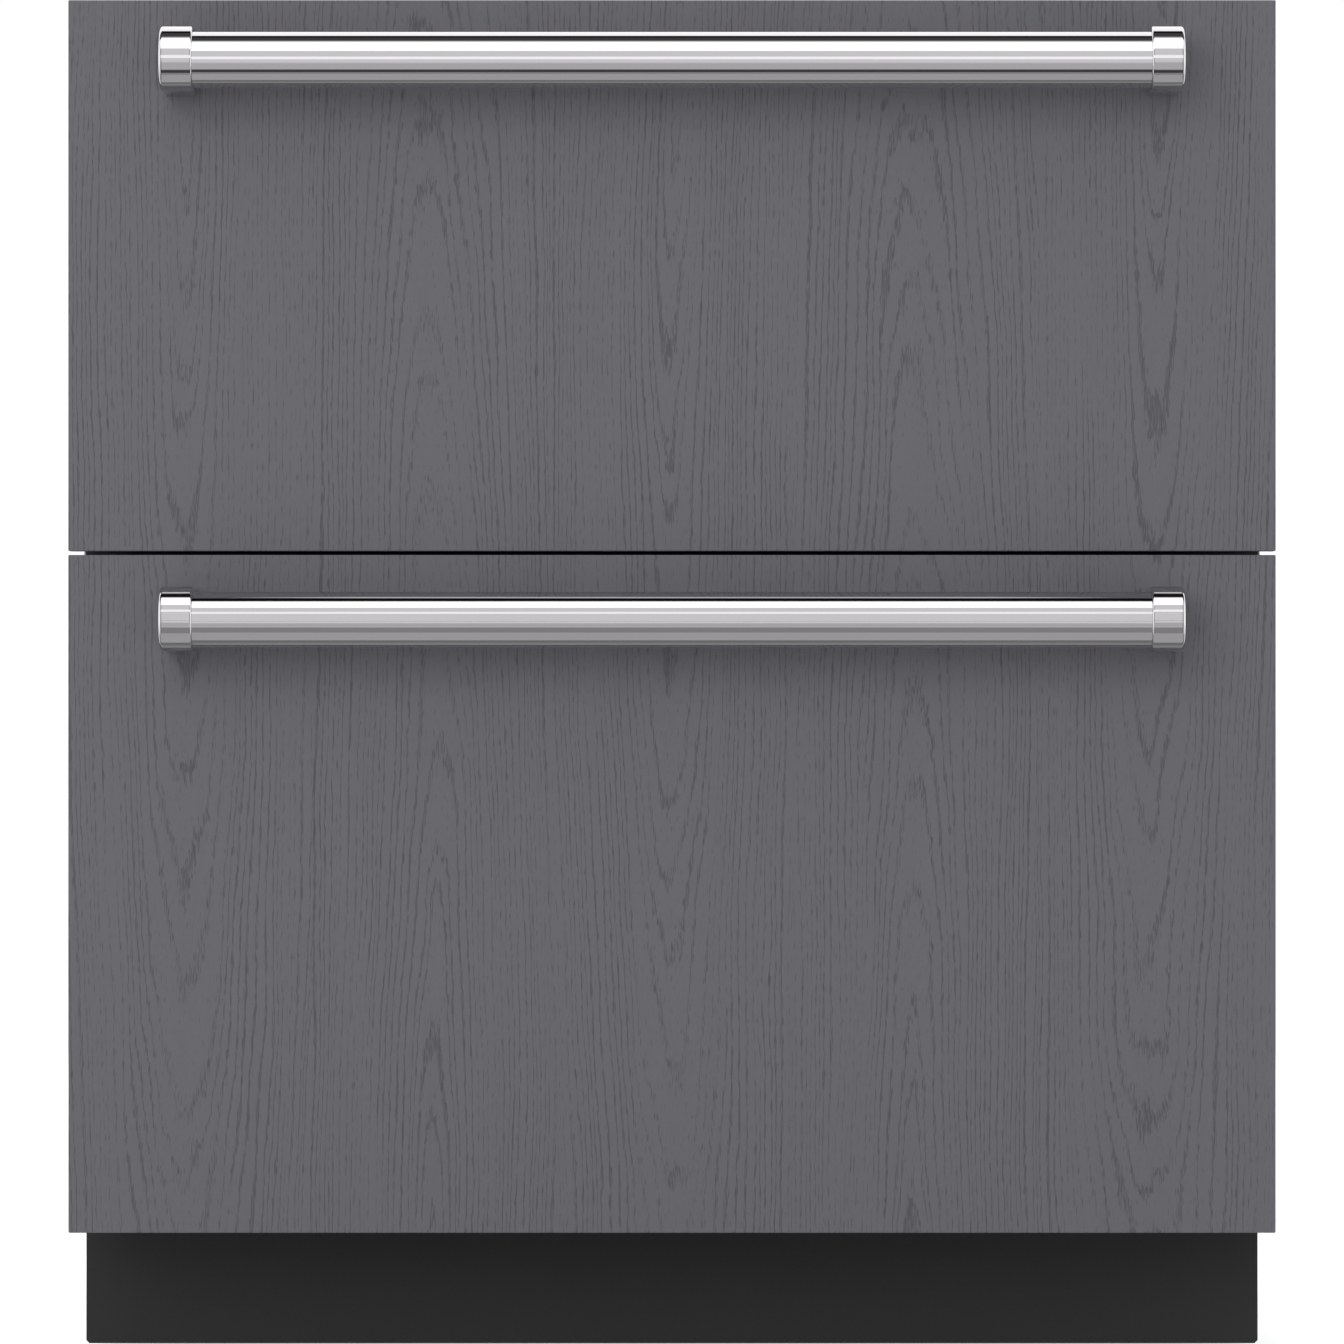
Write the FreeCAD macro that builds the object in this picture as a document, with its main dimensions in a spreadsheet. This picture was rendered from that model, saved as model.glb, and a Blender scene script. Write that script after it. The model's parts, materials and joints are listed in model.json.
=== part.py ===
"""A built-in freezer with two drawers behind timber panels, for a thirty inch wide opening.

Millimetres. The front faces -Y, +X is to the right as seen from the front, and +Z is up from the floor.
Every piece is an object of one document, and its sizes are bound to the sheets Sizes and Places.
"""
import FreeCAD, Part
import Sketcher
import math
import os
import re

Vector = FreeCAD.Vector

# Driving dimensions.
SIZES = {
    # timber panels
    "panel_width": 756,
    "panel_thickness": 19,
    "panel_edge_radius": 0.8,
    "upper_panel_height": 345,
    "lower_panel_height": 424.5,
    "panel_gap": 2.4,
    "panel_bottom_height": 84,
    # pull handles
    "handle_length": 635,
    "bar_diameter": 35,
    "bar_stand_off": 45,
    "bar_wall": 2,
    "handle_drop": 41,
    "post_width": 20.6,
    "post_height": 41.5,
    "post_edge_radius": 1.2,
    "socket_depth": 14,
    "socket_clearance": 0.1,
    # insulated drawer fronts
    "front_thickness": 50,
    "front_liner_wall": 3,
    "pan_reveal": 6,
    "pan_top_drop": 8,
    "plug_depth": 13,
    "plug_clearance": 9,
    "plug_top_gap": 36,
    "plug_corner_radius": 12,
    "gasket_thickness": 11,
    "gasket_width": 18,
    "gasket_inset": 2,
    "gasket_corner_radius": 10,
    "seal_margin": 1,
    # cabinet
    "cabinet_width": 748,
    "unit_depth": 610,
    "counter_gap": 4,
    "sheet_gauge": 1,
    "liner_wall": 2.5,
    "side_insulation": 45,
    "top_insulation": 40,
    "back_insulation": 50,
    "floor_insulation": 45,
    "step_insulation": 40,
    "machine_depth": 190,
    "machine_top_height": 270,
    # base
    "kick_setback": 103,
    "kick_overlap": 0.5,
    "kick_clearance": 6,
    "kick_gap": 2,
    "kick_gauge": 1.5,
    "kick_return": 12,
    "kick_corner": 2,
    "base_clearance": 24,
    "base_rail_width": 42,
    "base_wall": 2,
    "tray_gauge": 1.5,
    "tray_flange": 22,
    "tray_lift": 6,
    # levelling feet
    "foot_diameter": 40,
    "foot_pad_height": 9,
    "foot_collar": 22,
    "foot_stem": 12,
    "foot_stem_reach": 36,
    "foot_boss": 24,
    "foot_boss_height": 18,
    "foot_clearance": 0.3,
    "foot_front_setback": 92,
    "foot_rear_setback": 60,
    # telescopic slides
    "rail_height": 45,
    "rail_depth": 12.7,
    "rail_gauge": 1.5,
    "rail_clearance": 0.3,
    "rail_lip": 4,
    "rail_inner_lip": 2,
    "outer_rail_depth": 9.5,
    "mid_rail_depth": 10.5,
    "rail_setback": 6,
    "rail_rear_gap": 20,
    "rail_drop": 74,
    "rail_end_plate": 2,
    "rim_lift": 26,
    # bins
    "bin_wall": 3,
    "bin_rim": 3,
    "bin_side_gap": 2.3,
    "bin_front_gap": 3,
    "bin_rear_gap": 12,
    "bin_floor_gap": 8,
    "bin_corner_radius": 18,
    "rim_overlap": 3,
    "divider_thickness": 3,
    "divider_bar": 9,
    "divider_gap": 0.8,
    # control panel and lights
    "control_length": 190,
    "control_height": 22,
    "control_depth": 40,
    "control_setback": 3,
    "button_width": 17,
    "button_height": 9,
    "button_pitch": 30,
    "button_depth": 6,
    "button_proud": 1.5,
    "button_room": 1.5,
    "button_clearance": 0.3,
    "light_length": 340,
    "light_width": 30,
    "light_thickness": 6,
    "light_setback": 70,
    # cold air unit on the step of the lower compartment
    "evaporator_space": 95,
    "cover_side_gap": 25.5,
    "cover_wall": 2.5,
    "cover_slot": 5,
    "cover_slot_pitch": 13,
    "evaporator_depth": 60,
    "evaporator_width": 380,
    "evaporator_end_gap": 15,
    "evaporator_lift": 8,
    "evaporator_height": 140,
    "evaporator_fin_pitch": 18,
    "cold_fan_end_gap": 105,
    "cold_fan_diameter": 112,
    "cold_motor_diameter": 46,
    "cold_motor_length": 30,
    "duct_width": 78,
    "duct_depth": 40,
    "duct_wall": 2,
    "duct_offset": 130,
    "duct_rear_gap": 30,
    # compressor compartment
    "compressor_diameter": 156,
    "compressor_height": 158,
    "compressor_side_gap": 136,
    "compressor_dome": 44,
    "compressor_foot_gauge": 4,
    "compressor_foot_width": 190,
    "compressor_foot_depth": 132,
    "grommet_inset": 15,
    "grommet_height": 12,
    "grommet_diameter": 26,
    "condenser_side_gap": 136,
    "condenser_width": 220,
    "condenser_depth": 64,
    "condenser_height": 170,
    "condenser_setback": 14,
    "condenser_fin_pitch": 14,
    "shroud_depth": 14,
    "shroud_gauge": 2,
    "warm_fan_diameter": 142,
    "warm_fan_gap": 5,
    "warm_motor_diameter": 62,
    "warm_motor_length": 30,
    "fan_hub_diameter": 40,
    "fan_hub_length": 20,
    "fan_shaft": 6,
    "fan_blade_gauge": 2.2,
    "fan_blade_pitch_angle": 32,
    "shaft_clearance": 0.3,
    "tube_diameter": 8,
    "bend_gauge": 6,
    "end_plate_gauge": 2,
    "fin_gauge": 1,
    "fin_inset": 3,
    "tube_bend": 16,
    "tube_room": 1,
    "drier_diameter": 20,
    "room_side_gap": 10,
    "drain_pan_depth": 150,
    "drain_pan_height": 30,
    "drain_pan_wall": 2,
    "control_box_depth": 34,
    "control_box_height": 100,
    "louvre_width": 200,
    "louvre_height": 6,
    "louvre_pitch": 16,
    "gland_diameter": 20,
    "gland_bore": 9,
    "gland_length": 16,
    # counter brackets
    "bracket_width": 70,
    "bracket_length": 66,
    "bracket_gauge": 2,
    "bracket_overhang": 16,
    "bracket_hole": 5,
    "bracket_hole_spacing": 40,
    "bracket_side_gap": 134,
}

# Planes and lengths worked out from the driving dimensions.
PLACES = {
    "handle_reach": "bar_stand_off + post_height / 2",
    "y_panel_front": "(handle_reach - unit_depth) / 2",
    "y_panel_back": "y_panel_front + panel_thickness",
    "y_seal_face": "y_panel_back + front_thickness",
    "y_cabinet_front": "y_seal_face + gasket_thickness",
    "y_plug_back": "y_seal_face + plug_depth",
    "y_back": "y_panel_front + unit_depth",
    "y_foam_front": "y_cabinet_front + sheet_gauge",
    "y_foam_back": "y_back - sheet_gauge",
    "y_cavity_back": "y_foam_back - back_insulation - liner_wall",
    "y_notch": "y_foam_back - machine_depth",
    "y_step": "y_notch - step_insulation - liner_wall",
    "y_cover": "y_cavity_back - evaporator_space",
    "y_bar": "y_panel_front - bar_stand_off",
    "y_kick": "y_panel_front + kick_setback",
    "y_base_front": "y_kick + kick_gauge",
    "z_lower_top": "panel_bottom_height + lower_panel_height",
    "z_upper_bottom": "z_lower_top + panel_gap",
    "z_upper_top": "z_upper_bottom + upper_panel_height",
    "z_mullion": "z_lower_top + panel_gap / 2",
    "mullion_half": "pan_reveal + gasket_inset + gasket_width + seal_margin + panel_gap / 2",
    "z_cabinet_bottom": "panel_bottom_height + pan_reveal",
    "z_cabinet_top": "z_upper_top - counter_gap",
    "z_lower_floor": "z_cabinet_bottom + sheet_gauge + floor_insulation + liner_wall",
    "z_lower_ceiling": "z_mullion - mullion_half",
    "z_upper_floor": "z_mullion + mullion_half",
    "z_upper_ceiling": "z_cabinet_top - sheet_gauge - top_insulation - liner_wall",
    "z_step": "machine_top_height + step_insulation + liner_wall",
    "z_tray": "base_clearance + tray_lift + tray_gauge",
    "half_width": "cabinet_width / 2",
    "half_foam": "half_width - sheet_gauge",
    "half_cavity": "half_foam - side_insulation - liner_wall",
    "half_tray": "half_foam - base_rail_width",
    "half_cover": "half_cavity - cover_side_gap",
    "half_kick": "half_width + kick_overlap",
    "compressor_offset": "half_tray - compressor_side_gap",
    "condenser_offset": "half_tray - condenser_side_gap",
    "room_width": "2 * (condenser_offset - condenser_width / 2 - room_side_gap)",
    "evaporator_offset": "half_cover - evaporator_end_gap - evaporator_width / 2",
    "cold_fan_offset": "half_cover - cold_fan_end_gap",
    "bracket_offset": "half_width - bracket_side_gap",
    "y_rail_front": "y_cabinet_front + rail_setback",
    "rail_length": "y_cavity_back - y_rail_front - rail_rear_gap",
    "half_bin": "half_cavity - rail_depth - bin_side_gap",
    "half_rim": "half_cavity - rail_depth + rim_overlap",
    "y_bin_front": "y_plug_back + bin_front_gap",
    "y_condenser": "y_notch + sheet_gauge + condenser_setback",
    "y_shroud": "y_condenser + condenser_depth",
    "y_warm_fan": "y_shroud + shroud_depth + warm_fan_gap",
    "z_warm_fan": "z_tray + condenser_height / 2",
    "y_warm_motor": "y_warm_fan + fan_hub_length + warm_fan_gap",
    "y_cold_motor": "y_cavity_back - cold_motor_length",
    "y_cold_fan": "y_cold_motor - warm_fan_gap - fan_hub_length",
    "z_cold_fan": "(z_step + z_lower_ceiling) / 2",
    "y_compressor": "y_notch + machine_depth / 2",
    "z_compressor": "z_tray + grommet_height",
    "y_tubes": "y_cavity_back - evaporator_depth / 2",
    "y_hot_tube": "y_condenser + condenser_depth / 2",
    "z_tube_run": "machine_top_height - sheet_gauge - drier_diameter / 2 - tube_room * 4",
    "z_hot_run": "z_tube_run - tube_diameter - drier_diameter / 2",
    "z_stub": "z_hot_run - tube_bend - tube_room",
}

FUNCTIONS = {"cos", "floor", "sin", "tan"}

doc = FreeCAD.newDocument("built_in_freezer")
sizes = doc.addObject("Spreadsheet::Sheet", "Sizes")
places = doc.addObject("Spreadsheet::Sheet", "Places")


def bound(formula):
    """The formula with every size and place named by its sheet."""
    def owner(match):
        word = match.group(0)
        if word in SIZES:
            return "Sizes." + word
        if word in PLACES:
            return "Places." + word
        if word in FUNCTIONS:
            return word
        raise KeyError(word)
    return re.sub(r"[a-z][a-z_]*", owner, str(formula))


for row, (name, size) in enumerate(SIZES.items(), start=1):
    sizes.set(f"A{row}", name)
    sizes.set(f"B{row}", str(size))
    sizes.setAlias(f"B{row}", name)
doc.recompute()
for row, (name, formula) in enumerate(PLACES.items(), start=1):
    places.set(f"A{row}", name)
    places.set(f"B{row}", "=" + bound(formula).replace("Places.", ""))
    places.setAlias(f"B{row}", name)
doc.recompute()


def number(formula):
    """The present value of a formula."""
    return float(places.evalExpression(bound(formula)))


# Sketches and features of a body. A feature grows from START along a global axis for LENGTH.
PLANES = {"X": "YZ_Plane", "Y": "XZ_Plane", "Z": "XY_Plane"}
nodes = []


def origin_feature(body, role):
    return next(item for item in body.Origin.OriginFeatures if item.Role == role)


def new_body(label):
    body = doc.addObject("PartDesign::Body", label)
    body.Label = label
    nodes.append(body)
    return body


def set_place(item, x="0", y="0", z="0"):
    """Binds where the item's own origin stands."""
    for axis, formula in zip("xyz", (x, y, z)):
        item.setExpression("Placement.Base." + axis, bound(formula))


def fix(sketch, geometry, point, u, v):
    """Ties one point of a sketch to the sketch origin by two bound distances."""
    for kind, formula in (("DistanceX", u), ("DistanceY", v)):
        index = sketch.addConstraint(Sketcher.Constraint(kind, -1, 1, geometry, point, number(formula)))
        sketch.setExpression(f"Constraints[{index}]", bound(formula))


def outline(*corners):
    """A closed outline of straight edges through the given corners."""
    def draw(sketch):
        first = sketch.GeometryCount
        spots = [Vector(number(u), number(v), 0) for u, v in corners]
        count = len(spots)
        lines = [Part.LineSegment(spots[i], spots[(i + 1) % count]) for i in range(count)]
        sketch.addGeometry(lines, False)
        ties = [
            Sketcher.Constraint("Coincident", first + i, 2, first + (i + 1) % count, 1)
            for i in range(count)
        ]
        sketch.addConstraint(ties)
        for i, (u, v) in enumerate(corners):
            fix(sketch, first + i, 1, u, v)
    return draw


def rectangle(u_low, v_low, u_high, v_high):
    return outline((u_low, v_low), (u_high, v_low), (u_high, v_high), (u_low, v_high))


def centred(half_u, v_low, v_high):
    """A rectangle that lies evenly about the first axis."""
    return rectangle(f"-({half_u})", v_low, half_u, v_high)


def disc(u, v, diameter):
    def draw(sketch):
        first = sketch.GeometryCount
        centre = Vector(number(u), number(v), 0)
        sketch.addGeometry(Part.Circle(centre, Vector(0, 0, 1), number(diameter) / 2), False)
        fix(sketch, first, 3, u, v)
        index = sketch.addConstraint(Sketcher.Constraint("Diameter", first, number(diameter)))
        sketch.setExpression(f"Constraints[{index}]", bound(diameter))
    return draw


def new_sketch(body, axis, start, drawings):
    sketch = body.newObject("Sketcher::SketchObject", body.Name + "_sketch")
    sketch.AttachmentSupport = (origin_feature(body, PLANES[axis]), [""])
    sketch.MapMode = "FlatFace"
    along_normal = bound(start)
    if axis == "Y":
        along_normal = f"-({along_normal})"
    sketch.setExpression("AttachmentOffset.Base.z", along_normal)
    for draw in drawings:
        draw(sketch)
    return sketch


def pad(body, axis, start, length, *drawings):
    sketch = new_sketch(body, axis, start, drawings)
    feature = body.newObject("PartDesign::Pad", body.Name + "_pad")
    feature.Profile = sketch
    feature.Reversed = axis == "Y"
    feature.setExpression("Length", bound(length))
    return feature


def pocket(body, axis, start, length, *drawings):
    sketch = new_sketch(body, axis, start, drawings)
    feature = body.newObject("PartDesign::Pocket", body.Name + "_pocket")
    feature.Profile = sketch
    feature.Reversed = axis != "Y"
    feature.setExpression("Length", bound(length))
    return feature


def turned(body, *drawings):
    """A solid of revolution about the body's own Z axis."""
    sketch = new_sketch(body, "Y", "0", drawings)
    feature = body.newObject("PartDesign::Revolution", body.Name + "_turned")
    feature.Profile = sketch
    feature.ReferenceAxis = (origin_feature(body, "Z_Axis"), [""])
    feature.Angle = 360
    return feature


def row_of(body, features, axis, spacing, count):
    """Repeats features in a straight row."""
    pattern = body.newObject("PartDesign::LinearPattern", body.Name + "_row")
    pattern.Originals = features
    pattern.Direction = (origin_feature(body, axis + "_Axis"), [""])
    pattern.Mode = "Spacing"
    pattern.setExpression("Offset", bound(spacing))
    pattern.setExpression("Occurrences", bound(count))
    body.Tip = pattern
    return pattern


def ring_of(body, features, count):
    """Repeats features evenly about the body's own Z axis."""
    pattern = body.newObject("PartDesign::PolarPattern", body.Name + "_ring")
    pattern.Originals = features
    pattern.Axis = (origin_feature(body, "Z_Axis"), [""])
    pattern.Angle = 360
    pattern.Occurrences = count
    body.Tip = pattern
    return pattern


def runs_along(edge, axis):
    """True for a straight edge that is parallel to the axis."""
    if edge.Curve.TypeId != "Part::GeomLine":
        return False
    return abs(edge.Curve.Direction.dot(axis)) > 0.999


ALONG_X = Vector(1, 0, 0)
ALONG_Y = Vector(0, 1, 0)
ALONG_Z = Vector(0, 0, 1)


def soften(body, kind, size, chosen):
    """Rounds (Fillet) or bevels (Chamfer) the edges that CHOSEN picks on the body as it stands."""
    doc.recompute()
    base = body.Tip
    edges = [f"Edge{i}" for i, edge in enumerate(base.Shape.Edges, start=1) if chosen(edge)]
    feature = body.newObject("PartDesign::" + kind, body.Name + "_" + kind.lower())
    feature.Base = (base, edges)
    feature.setExpression("Radius" if kind == "Fillet" else "Size", bound(size))
    return feature


def mirrored(source, label):
    """The same piece on the other side of the middle plane."""
    copy = doc.addObject("Part::Mirroring", label)
    copy.Label = label
    copy.Source = source
    copy.Normal = (1, 0, 0)
    return copy


def grouped(label, pieces):
    """One node of several like pieces that stay separate solids."""
    for piece in pieces:
        if piece in nodes:
            nodes.remove(piece)
        piece.Label = label + "_piece"
    group = doc.addObject("Part::Compound", label)
    group.Label = label
    group.Links = pieces
    nodes.append(group)
    return group


def cut_from(label, body, room):
    """The body with the other body's shape taken out of it."""
    for piece in (body, room):
        nodes.remove(piece)
    body.Label = label + "_block"
    result = doc.addObject("Part::Cut", label)
    result.Label = label
    result.Base = body
    result.Tool = room
    nodes.append(result)
    return result


def pair(label, piece):
    """A left piece and its mirror image as one node."""
    twin = mirrored(piece, label + "_twin")
    return grouped(label, [piece, twin])


# Panels, handles, insulated fronts and gaskets. Each drawer takes its own heights.
DRAWERS = {
    "upper": {
        "panel_low": "z_upper_bottom",
        "panel_high": "z_upper_top",
        "pan_low": "z_upper_bottom + pan_reveal",
        "pan_high": "z_upper_top - pan_top_drop",
        "floor": "z_upper_floor",
        "ceiling": "z_upper_ceiling",
        "rail": "(z_upper_ceiling - rail_drop)",
        "bin_back": "y_cavity_back - bin_rear_gap",
    },
    "lower": {
        "panel_low": "panel_bottom_height",
        "panel_high": "z_lower_top",
        "pan_low": "panel_bottom_height + pan_reveal",
        "pan_high": "z_lower_top - pan_reveal",
        "floor": "z_lower_floor",
        "ceiling": "z_lower_ceiling",
        "rail": "(z_lower_ceiling - rail_drop)",
        "bin_back": "y_cover - bin_rear_gap",
    },
}


def build_panel(name, at):
    body = new_body(name + "_panel")
    face = centred("panel_width / 2", at["panel_low"], at["panel_high"])
    pad(body, "Y", "y_panel_front", "panel_thickness", face)
    soften(body, "Fillet", "panel_edge_radius", lambda edge: True)


def build_handle(name, at):
    height = f"({at['panel_high']} - handle_drop)"
    left_end = "-handle_length / 2"

    post = new_body(name + "_handle_posts")
    pad(post, "X", left_end, "post_width", disc("y_bar", height, "post_height"))
    straight = rectangle(
        "y_bar", f"{height} - post_height / 2",
        "y_panel_front", f"{height} + post_height / 2",
    )
    pad(post, "X", left_end, "post_width", straight)
    front = number("y_panel_front")
    soften(post, "Fillet", "post_edge_radius", lambda edge: is_post_rim(edge, front))
    bore = "bar_diameter + 2 * socket_clearance"
    pocket(post, "X", f"{left_end} + post_width - socket_depth", "socket_depth", disc("y_bar", height, bore))
    pair(name + "_handle_posts", post)

    bar = new_body(name + "_handle_bar")
    bar_start = f"{left_end} + post_width - socket_depth"
    bar_length = "handle_length - 2 * (post_width - socket_depth)"
    pad(bar, "X", bar_start, bar_length, disc("y_bar", height, "bar_diameter"))
    hollow = disc("y_bar", height, "bar_diameter - 2 * bar_wall")
    pocket(bar, "X", bar_start, bar_length, hollow)


def is_post_rim(edge, panel_front):
    """The long edges of a post's two flat sides, clear of the face that meets the panel."""
    if runs_along(edge, ALONG_X) or runs_along(edge, ALONG_Z):
        return False
    return edge.CenterOfMass.y < panel_front - 1


def build_front(name, at):
    pan = new_body(name + "_front_pan")
    pan_depth = "front_thickness - front_liner_wall"
    core_low = f"{at['pan_low']} + sheet_gauge"
    core_high = f"{at['pan_high']} - sheet_gauge"
    core = centred("half_foam", core_low, core_high)
    pad(pan, "Y", "y_panel_back", pan_depth, centred("half_width", at["pan_low"], at["pan_high"]))
    pocket(pan, "Y", "y_panel_back + sheet_gauge", pan_depth, core)
    foam = new_body(name + "_front_foam")
    pad(foam, "Y", "y_panel_back + sheet_gauge", f"{pan_depth} - sheet_gauge", core)

    liner = new_body(name + "_front_liner")
    liner_start = "y_seal_face - front_liner_wall"
    pad(liner, "Y", liner_start, "front_liner_wall", centred("half_width", at["pan_low"], at["pan_high"]))
    plug_low = f"{at['floor']} + plug_clearance"
    plug_high = f"{at['ceiling']} - plug_top_gap"
    pad(liner, "Y", "y_seal_face", "plug_depth", centred("half_cavity - plug_clearance", plug_low, plug_high))
    plug_side = number("half_cavity - plug_clearance")
    soften(
        liner, "Fillet", "plug_corner_radius",
        lambda edge: runs_along(edge, ALONG_Y) and abs(abs(edge.CenterOfMass.x) - plug_side) < 0.01,
    )

    gasket = new_body(name + "_gasket")
    low = f"{at['pan_low']} + gasket_inset"
    high = f"{at['pan_high']} - gasket_inset"
    pad(gasket, "Y", "y_seal_face", "gasket_thickness", centred("half_width - gasket_inset", low, high))
    soften(gasket, "Fillet", "gasket_corner_radius", lambda edge: runs_along(edge, ALONG_Y))
    pocket(
        gasket, "Y", "y_seal_face", "gasket_thickness",
        centred(
            "half_width - gasket_inset - gasket_width",
            f"{low} + gasket_width", f"{high} - gasket_width",
        ),
    )
    # The soft lip steps in from the magnet strip to leave a bellows groove all round.
    groove = "gasket_thickness / 4"
    pocket(
        gasket, "Y", f"y_seal_face + {groove}", groove,
        centred("half_width - gasket_inset - gasket_width * 2 / 3", f"{low} + gasket_width * 2 / 3",
                f"{high} - gasket_width * 2 / 3"),
    )


# Bins, the divider and the telescopic slides.
def build_bin(name, at):
    body = new_body(name + "_bin")
    low = f"({at['floor']} + bin_floor_gap)"
    rim_low = f"({at['rail']} + rim_lift)"
    high = f"({rim_low} + bin_rim)"
    back = at["bin_back"]
    outer = [("y_bin_front", low), (back, low), (back, high), ("y_bin_front", high)]
    inner = [
        ("y_bin_front + bin_wall", f"{low} + bin_wall"), (f"{back} - bin_wall", f"{low} + bin_wall"),
        (f"{back} - bin_wall", high), ("y_bin_front + bin_wall", high),
    ]
    if name == "lower":
        shelf = "z_step + bin_floor_gap"
        heel = "y_step - bin_rear_gap"
        outer[1:2] = [(heel, low), (heel, shelf), (back, shelf)]
        inner[1:2] = [
            (f"{heel} - bin_wall", f"{low} + bin_wall"), (f"{heel} - bin_wall", f"{shelf} + bin_wall"),
            (f"{back} - bin_wall", f"{shelf} + bin_wall"),
        ]
    pad(body, "X", "-half_bin", "2 * half_bin", outline(*outer))
    soften(body, "Fillet", "bin_corner_radius", lambda edge: runs_along(edge, ALONG_Z))
    pad(body, "Z", rim_low, "bin_rim", centred("half_rim", "y_bin_front", back))
    room = new_body(name + "_bin_room")
    pad(room, "X", "bin_wall - half_bin", "2 * (half_bin - bin_wall)", outline(*inner))
    soften(room, "Fillet", "bin_corner_radius - bin_wall", lambda edge: runs_along(edge, ALONG_Z))
    cut_from(name + "_bin", body, room)


def build_divider(at):
    """A plate that hangs in the upper bin from a bar across its rim, and slides sideways."""
    body = new_body("bin_divider")
    rim_top = f"({at['rail']} + rim_lift + bin_rim)"
    low = f"({at['floor']} + bin_floor_gap + bin_wall + divider_gap)"
    front = "y_bin_front + bin_wall + divider_gap"
    back = f"{at['bin_back']} - bin_wall - divider_gap"
    pad(body, "X", "-divider_thickness / 2", "divider_thickness", rectangle(front, low, back, rim_top))
    soften(body, "Fillet", "bin_corner_radius / 2", lambda edge: is_low_corner(edge, number(low)))
    bar = rectangle("y_bin_front", rim_top, at["bin_back"], f"{rim_top} + divider_thickness")
    pad(body, "X", "-divider_bar / 2", "divider_bar", bar)


def is_low_corner(edge, low):
    return runs_along(edge, ALONG_X) and abs(edge.CenterOfMass.z - low) < 0.01


def both_ways(half):
    """A slide profile from its upper half, whose corners run from the web outwards and back."""
    lower_half = [(u, f"-({v})") for u, v in reversed(half)]
    return half + lower_half


def build_slides(name, at):
    """Three nested steel channels a side: fixed to the liner, running between, and carrying the bin.

    A corner is given as its distance from the liner wall and its height over the middle of the slide.
    """
    top = "rail_height / 2"
    lip_low = f"({top} - rail_lip)"
    outer_half = [
        ("0", top), ("outer_rail_depth", top), ("outer_rail_depth", lip_low),
        ("outer_rail_depth - rail_gauge", lip_low), ("outer_rail_depth - rail_gauge", f"{top} - rail_gauge"),
        ("rail_gauge", f"{top} - rail_gauge"),
    ]
    mid_top = f"({top} - rail_gauge - rail_clearance)"
    mid_web = "(rail_gauge + rail_clearance)"
    mid_catch = "(outer_rail_depth - rail_gauge - rail_clearance)"
    mid_roof = f"({lip_low} - rail_clearance)"
    mid_inside = f"({mid_roof} - rail_gauge)"
    mid_lip_low = f"({mid_inside} - rail_inner_lip)"
    mid_half = [
        (mid_web, mid_top), (mid_catch, mid_top), (mid_catch, mid_roof), ("mid_rail_depth", mid_roof),
        ("mid_rail_depth", mid_lip_low), ("mid_rail_depth - rail_gauge", mid_lip_low),
        ("mid_rail_depth - rail_gauge", mid_inside), (f"{mid_catch} - rail_gauge", mid_inside),
        (f"{mid_catch} - rail_gauge", f"{mid_top} - rail_gauge"),
        (f"{mid_web} + rail_gauge", f"{mid_top} - rail_gauge"),
    ]
    run_top = f"({mid_lip_low} - rail_clearance)"
    catch = "(mid_rail_depth - rail_gauge - rail_clearance)"
    hook = f"({mid_inside} - rail_clearance)"
    hook_half = [
        ("rail_depth - rail_gauge", run_top), (catch, run_top),
        (catch, hook), (f"{catch} - rail_gauge", hook),
        (f"{catch} - rail_gauge", f"{run_top} - rail_gauge"),
        ("rail_depth - rail_gauge", f"{run_top} - rail_gauge"),
    ]
    lower_hook = [(u, f"-({v})") for u, v in reversed(hook_half)]
    inner_profile = [("rail_depth", "rim_lift"), ("rail_depth - rail_gauge", "rim_lift")] + hook_half
    inner_profile += lower_hook[:5] + [("rail_depth", f"-{run_top}")]

    profiles = {"outer": both_ways(outer_half), "mid": both_ways(mid_half), "inner": inner_profile}
    for member, profile in profiles.items():
        label = f"{name}_slide_{member}"
        body = new_body(label)
        corners = [(f"{u} - half_cavity", f"{at['rail']} + {v}") for u, v in profile]
        start = "y_rail_front"
        length = "rail_length"
        if member == "inner":
            start = "y_plug_back"
            length = "rail_length + y_rail_front - y_plug_back"
        pad(body, "Y", start, length, outline(*corners))
        if member == "inner":
            # The end plate is screwed to the inside of the drawer front.
            plate = rectangle(
                f"{catch} - rail_gauge - half_cavity", f"{at['rail']} - {top}",
                "rail_depth - half_cavity", f"{at['rail']} + rim_lift",
            )
            pad(body, "Y", "y_plug_back", "rail_end_plate", plate)
        pair(label, body)


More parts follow.
